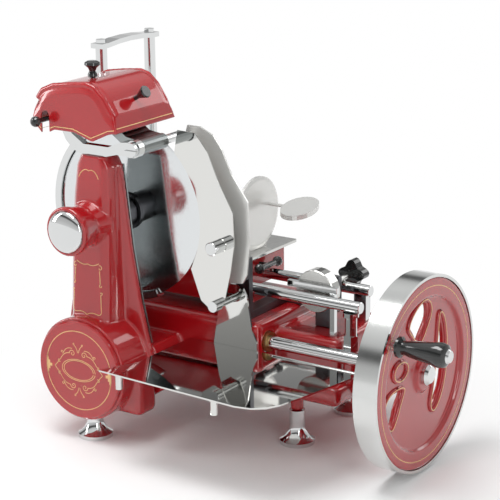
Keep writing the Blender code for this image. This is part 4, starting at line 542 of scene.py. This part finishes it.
def make_cover_ornament():
    """Ring with two pointed fields, and a scroll wreath about an empty oval."""
    bm = bmesh.new()
    ribbon(bm, [cover_point(p) for p in circle(COVER_RING_R)], LINE, FRONT, True)
    half = FIELD_STROKES // 2
    for side in (-1, 1):
        for i in range(FIELD_STROKES):
            reach = FIELD_LEAST + FIELD_REACH * (1 - abs(i - half) / half) ** 2
            a = math.radians(FIELD_TURN * (i - half))
            low = (side * (COVER_RING_R - reach) * math.cos(a), COVER_RING_R * math.sin(a))
            high = (side * COVER_RING_R * math.cos(a), COVER_RING_R * math.sin(a))
            ribbon(bm, [cover_point(low), cover_point(high)], FIELD_STROKE, FRONT)
    strokes = [[(x * OVAL_X * grow, z * OVAL_Z * grow) for x, z in circle(1.0, count=48)]
               for grow in OVAL_GROWS]
    for h in (-1, 1):
        for v in (-1, 1):
            strokes += [[(x * h, z * v) for x, z in stroke] for stroke in wreath_quarter()]
    for stroke in strokes:
        ribbon(bm, [cover_point(p) for p in stroke], SCROLL_LINE, FRONT)
    made = piece("cover_ornament", bm, GOLD, "machine", smooth=False)


# Lines on the castings, in machine places

AHEAD_Y = -0.6          # a place in front of the machine, and one to its right, to look from
ASIDE_X = 0.4


def surface_of(made):
    """The finished skin of a piece, for setting lines on it."""
    graph = bpy.context.evaluated_depsgraph_get()
    ready = made.evaluated_get(graph)
    mesh = ready.to_mesh()
    tree = BVHTree.FromPolygons([v.co.copy() for v in mesh.vertices],
                                [tuple(p.vertices) for p in mesh.polygons])
    ready.to_mesh_clear()
    return tree


def seen_on(tree, places, normal):
    """Machine places where a skin is met from other places, looking against a normal."""
    hits = [tree.ray_cast(at(*place), -normal)[0] for place in places]
    return [hit + SHIFT + normal * LIFT for hit in hits if hit]


def on_front(tree, points):
    """Machine places where lines drawn from the front at (x, z) meet a skin."""
    return seen_on(tree, [(x, AHEAD_Y, z) for x, z in points], FRONT)


def column_half():
    """The right half of the column's lines: panel, corner curls and the wavy line above."""
    return [
        bowed((0.0, 0.2840), (0.010, 0.2800), (0.0215, 0.2870)),
        curl(0.0235, 0.2800, 0.0042, 0.8, 100, hand=-1),
        even(((0.0235, 0.2760), (0.0250, 0.2550))),
        curl(0.0262, 0.2520, 0.0026, 0.8, 120),
        even(((0.0262, 0.2380), (0.0275, 0.2130))),
        curl(0.0262, 0.2405, 0.0026, 0.8, 260),
        bowed((0.0275, 0.2130), (0.0285, 0.2040), (0.0180, 0.2065)),
        bowed((0.0180, 0.2065), (0.008, 0.2090), (0.0, 0.2035)),
        bowed((0.0, 0.4290), (0.006, 0.4330), (0.0125, 0.4275)),
        bowed((0.0125, 0.4275), (0.016, 0.4250), (0.0190, 0.4180))]


def make_column_lines():
    """The panel lines on the column's front, with curls at its corners, and a wavy line above."""
    skin = surface_of(COLUMN)
    bm = bmesh.new()
    for h in (-1, 1):
        for stroke in column_half():
            placed = on_front(skin, [(h * x, z) for x, z in stroke])
            if len(placed) > 1:
                ribbon(bm, placed, PANEL_LINE, FRONT)
    made = piece("column_lines", bm, GOLD, "machine", smooth=False)


# The hood's line from left to right along its lower edge, in machine places (x, z)
HOOD_LINE = ((-0.1010, 0.5015), (-0.0820, 0.4830), (-0.0600, 0.4925), (-0.0240, 0.4925),
             (0.0110, 0.4820), (0.0440, 0.4965), (0.0560, 0.4985))
HOOD_END_Z = 0.5005
HOOD_END_Y = -0.124
HOOD_END_LENGTH = 0.140
HOOD_END_POINTS = 40
HOOD_END_NORMAL = Vector((0.8, 0, 0.6))


def make_hood_line():
    """The line along the hood's front and right end.

    A few of its points pass through the slot in the front wall and land inside the back wall.
    """
    skin = surface_of(HOOD)
    bm = bmesh.new()
    ribbon(bm, on_front(skin, even(HOOD_LINE)), LINE, FRONT)
    side = [(ASIDE_X, HOOD_END_Y + HOOD_END_LENGTH * i / (HOOD_END_POINTS - 1), HOOD_END_Z)
            for i in range(HOOD_END_POINTS)]
    ribbon(bm, seen_on(skin, side, RIGHT), LINE, HOOD_END_NORMAL)
    made = piece("hood_line", bm, GOLD, "sharpener", smooth=False)


# Outlines of the three openings in the web, as shares of the wheel's radius
WEB_OPENING_SHARES = (
    ((-0.27, 0.553), (-0.154, 0.683), (0.005, 0.742), (0.091, 0.616), (-0.007, 0.46),
     (-0.103, 0.35), (-0.187, 0.458)),
    ((0.303, 0.48), (0.39, 0.397), (0.434, 0.122), (0.394, -0.206), (0.253, -0.386),
     (0.183, -0.31), (0.243, -0.117), (0.29, 0.269)),
    ((-0.721, -0.103), (-0.626, -0.032), (-0.43, -0.042), (-0.487, -0.148), (-0.561, -0.299),
     (-0.637, -0.376), (-0.71, -0.229)))
WHEEL_R = 0.150
WEB_FLOOR_X = 0.5050
WEB_FACE_X = 0.5110
WEB_CIRCLE_R = 0.133
STRAND_WIDER = (1.42, 1.24)     # how much wider than its opening a strand runs, along Y and up
STRAND_R = 0.0034
STRAND_TOP = 0.0033             # how far above the web's floor a strand's line lies
STRAND_SIDES = 10
LOOP_MIDDLE = (-0.0700, 0.0240)
LOOP_HALF = (0.0200, 0.0140)
LOOP_R = 0.0040
LOOP_TOP = 0.0039


def rounded_loop(points, rounds=3):
    """Take the corners off a closed line."""
    for _ in range(rounds):
        fresh = []
        for (a0, u0), (a1, u1) in zip(points, points[1:] + points[:1]):
            fresh += [(a0 * 0.75 + a1 * 0.25, u0 * 0.75 + u1 * 0.25),
                      (a0 * 0.25 + a1 * 0.75, u0 * 0.25 + u1 * 0.75)]
        points = fresh
    return points


def web_line(points, x):
    """A line of (across, up) points from the shaft, at a depth of the wheel."""
    return [Vector((x, SHAFT_Y + across, SHAFT_Z + up)) for across, up in points]


def strand_about(shares):
    """The closed line of the strand round one opening."""
    middle = [sum(s[i] for s in shares) / len(shares) for i in (0, 1)]
    loop = [((a - middle[0]) * STRAND_WIDER[0] + middle[0], (u - middle[1]) * STRAND_WIDER[1] + middle[1])
            for a, u in shares]
    return [(a * WHEEL_R, u * WHEEL_R) for a, u in rounded_loop(loop)]


def make_web_trim():
    """Gold circle on the wheel, and raised strands and a small loop with a gold line on each."""
    gold = bmesh.new()
    raised = bmesh.new()
    ribbon(gold, web_line(circle(WEB_CIRCLE_R), WEB_FACE_X), LINE, RIGHT, True)
    ring = [(LOOP_MIDDLE[0] + a * LOOP_HALF[0], LOOP_MIDDLE[1] + u * LOOP_HALF[1])
            for a, u in circle(1.0, count=40)]
    loops = [(strand_about(shares), STRAND_R, STRAND_TOP) for shares in WEB_OPENING_SHARES]
    for loop, radius, top in loops + [(ring, LOOP_R, LOOP_TOP)]:
        tube(raised, web_line(loop + loop[:1], WEB_FLOOR_X), radius, STRAND_SIDES)
        ribbon(gold, web_line(loop, WEB_FLOOR_X + top), LINE, RIGHT, True)
    piece("web_lines", gold, GOLD, "flywheel", smooth=False)
    piece("web_strands", raised, RED, "flywheel", angle=60)


make_cover_ornament()
make_column_lines()
make_hood_line()
make_web_trim()


# Camera, floor and light

TARGET = at(0.1995, 0.0192, 0.2993)
DISTANCE = 2.785
AZIMUTH = math.radians(34.09)
ELEVATION = math.radians(16.00)
ROLL = math.radians(-0.61)
LENS = 129.6
SENSOR = 36.0
FAR_END = 50.0
FLOOR_HALF = 12
FLOOR_Z = -0.0002
PAPER_LEVEL = 0.92
PAPER_ROUGH = 0.9
FADE_FROM = 0.26        # metres from the middle where the floor starts to fade, and where it is white
FADE_TO = 0.62

# Brightness of the room that metal reflects, from straight down (0) to straight up (1)
ROOM_LEVELS = ((0.0, 0.50), (0.50, 0.75), (0.56, 0.62), (0.64, 0.55), (0.69, 0.08), (0.74, 0.08),
               (0.79, 0.65), (0.88, 0.80), (1.0, 0.45))

# Each light's place, width, height and power, all aimed at one point
LIGHT_AIM = Vector((0.0, 0.0, 0.25))
LIGHTS = (
    ("top_softbox", (-0.3, -0.5, 2.2), 1.3, 0.8, 26.0),
    ("left_softbox", (-2.2, -1.2, 1.1), 0.5, 1.5, 18.0),
    ("right_softbox", (2.3, -1.6, 1.2), 0.5, 1.5, 14.0),
    ("back_softbox", (0.8, 2.4, 1.5), 1.2, 0.9, 8.0),
)


def make_camera():
    """The camera at the photograph's angle."""
    data = bpy.data.cameras.new("camera")
    data.lens = LENS
    data.sensor_width = SENSOR
    data.clip_end = FAR_END
    made = bpy.data.objects.new("camera", data)
    bpy.context.collection.objects.link(made)
    back = Vector((math.sin(AZIMUTH) * math.cos(ELEVATION), -math.cos(AZIMUTH) * math.cos(ELEVATION),
                   math.sin(ELEVATION)))
    right = (-back).cross(Vector((0, 0, 1))).normalized()
    up = right.cross(-back)
    tipped = right * math.cos(ROLL) + up * math.sin(ROLL)
    raised = up * math.cos(ROLL) - right * math.sin(ROLL)
    turn = Matrix((tipped, raised, back)).transposed().to_4x4()
    made.matrix_world = Matrix.Translation(TARGET + back * DISTANCE) @ turn
    bpy.context.scene.camera = made


def grey(level):
    return (level, level, level, 1)


def background_rays(tree):
    """1 for the rays that show the white background: camera, glossy and transmission rays."""
    path = tree.nodes.new("ShaderNodeLightPath")
    mirrored = math_node(tree, "MAXIMUM", path.outputs["Is Camera Ray"], path.outputs["Is Glossy Ray"])
    return math_node(tree, "MAXIMUM", mirrored, path.outputs["Is Transmission Ray"])


def make_paper():
    """Pale paper that glows white away from the object, for the rays that show the background."""
    paper = bpy.data.materials.new("studio_paper")
    paper.use_nodes = True
    tree = paper.node_tree
    shader = tree.nodes["Principled BSDF"]
    shader.inputs["Base Color"].default_value = grey(PAPER_LEVEL)
    shader.inputs["Roughness"].default_value = PAPER_ROUGH
    shader.inputs["Specular IOR Level"].default_value = 0.0
    glow = tree.nodes.new("ShaderNodeEmission")
    glow.inputs["Color"].default_value = (1, 1, 1, 1)
    glow.inputs["Strength"].default_value = 1.0
    where = tree.nodes.new("ShaderNodeTexCoord")
    length = tree.nodes.new("ShaderNodeVectorMath")
    length.operation = "LENGTH"
    tree.links.new(where.outputs["Object"], length.inputs[0])
    fade = tree.nodes.new("ShaderNodeMapRange")
    fade.interpolation_type = "SMOOTHSTEP"
    fade.inputs["From Min"].default_value = FADE_FROM
    fade.inputs["From Max"].default_value = FADE_TO
    tree.links.new(length.outputs["Value"], fade.inputs["Value"])
    mix = tree.nodes.new("ShaderNodeMixShader")
    tree.links.new(math_node(tree, "MULTIPLY", fade.outputs["Result"], background_rays(tree)),
                   mix.inputs[0])
    tree.links.new(shader.outputs[0], mix.inputs[1])
    tree.links.new(glow.outputs[0], mix.inputs[2])
    tree.links.new(mix.outputs[0], tree.nodes["Material Output"].inputs["Surface"])
    return paper


def make_floor():
    """A pale floor that keeps the shadow near the object and fades to white away from it."""
    bm = bmesh.new()
    bmesh.ops.create_grid(bm, x_segments=1, y_segments=1, size=FLOOR_HALF)
    mesh = bpy.data.meshes.new("floor")
    bm.to_mesh(mesh)
    bm.free()
    mesh.materials.append(make_paper())
    made = bpy.data.objects.new("floor", mesh)
    made.location = (0, 0, FLOOR_Z)
    bpy.context.collection.objects.link(made)


def make_world():
    """White to the camera, and a soft grey room with a darker band for reflections."""
    world = bpy.data.worlds.new("studio")
    bpy.context.scene.world = world
    world.use_nodes = True
    tree = world.node_tree
    ground = tree.nodes["Background"]
    where = tree.nodes.new("ShaderNodeTexCoord")
    parts = tree.nodes.new("ShaderNodeSeparateXYZ")
    tree.links.new(where.outputs["Generated"], parts.inputs[0])
    ramp = tree.nodes.new("ShaderNodeValToRGB")
    stops = ramp.color_ramp.elements
    stops[0].color = grey(ROOM_LEVELS[0][1])
    stops[1].color = grey(ROOM_LEVELS[-1][1])
    for place, level in ROOM_LEVELS[1:-1]:
        stops.new(place).color = grey(level)
    half = tree.nodes.new("ShaderNodeMapRange")
    half.inputs["From Min"].default_value = -1.0
    tree.links.new(parts.outputs["Z"], half.inputs["Value"])
    tree.links.new(half.outputs["Result"], ramp.inputs["Fac"])
    path = tree.nodes.new("ShaderNodeLightPath")
    pick = tree.nodes.new("ShaderNodeMix")
    pick.data_type = "RGBA"
    pick.inputs["B"].default_value = (1, 1, 1, 1)
    tree.links.new(path.outputs["Is Camera Ray"], pick.inputs["Factor"])
    tree.links.new(ramp.outputs["Color"], pick.inputs["A"])
    tree.links.new(pick.outputs["Result"], ground.inputs["Color"])
    ground.inputs["Strength"].default_value = 1.0


def make_light(name, place, width, height, power):
    """A soft rectangular light aimed at the object."""
    data = bpy.data.lights.new(name, "AREA")
    data.shape = "RECTANGLE"
    data.size = width
    data.size_y = height
    data.energy = power
    made = bpy.data.objects.new(name, data)
    made.location = place
    made.rotation_euler = (LIGHT_AIM - Vector(place)).to_track_quat("-Z", "Y").to_euler()
    bpy.context.collection.objects.link(made)


make_camera()
make_floor()
make_world()
for light in LIGHTS:
    make_light(*light)
scene = bpy.context.scene
scene.view_settings.view_transform = "Standard"
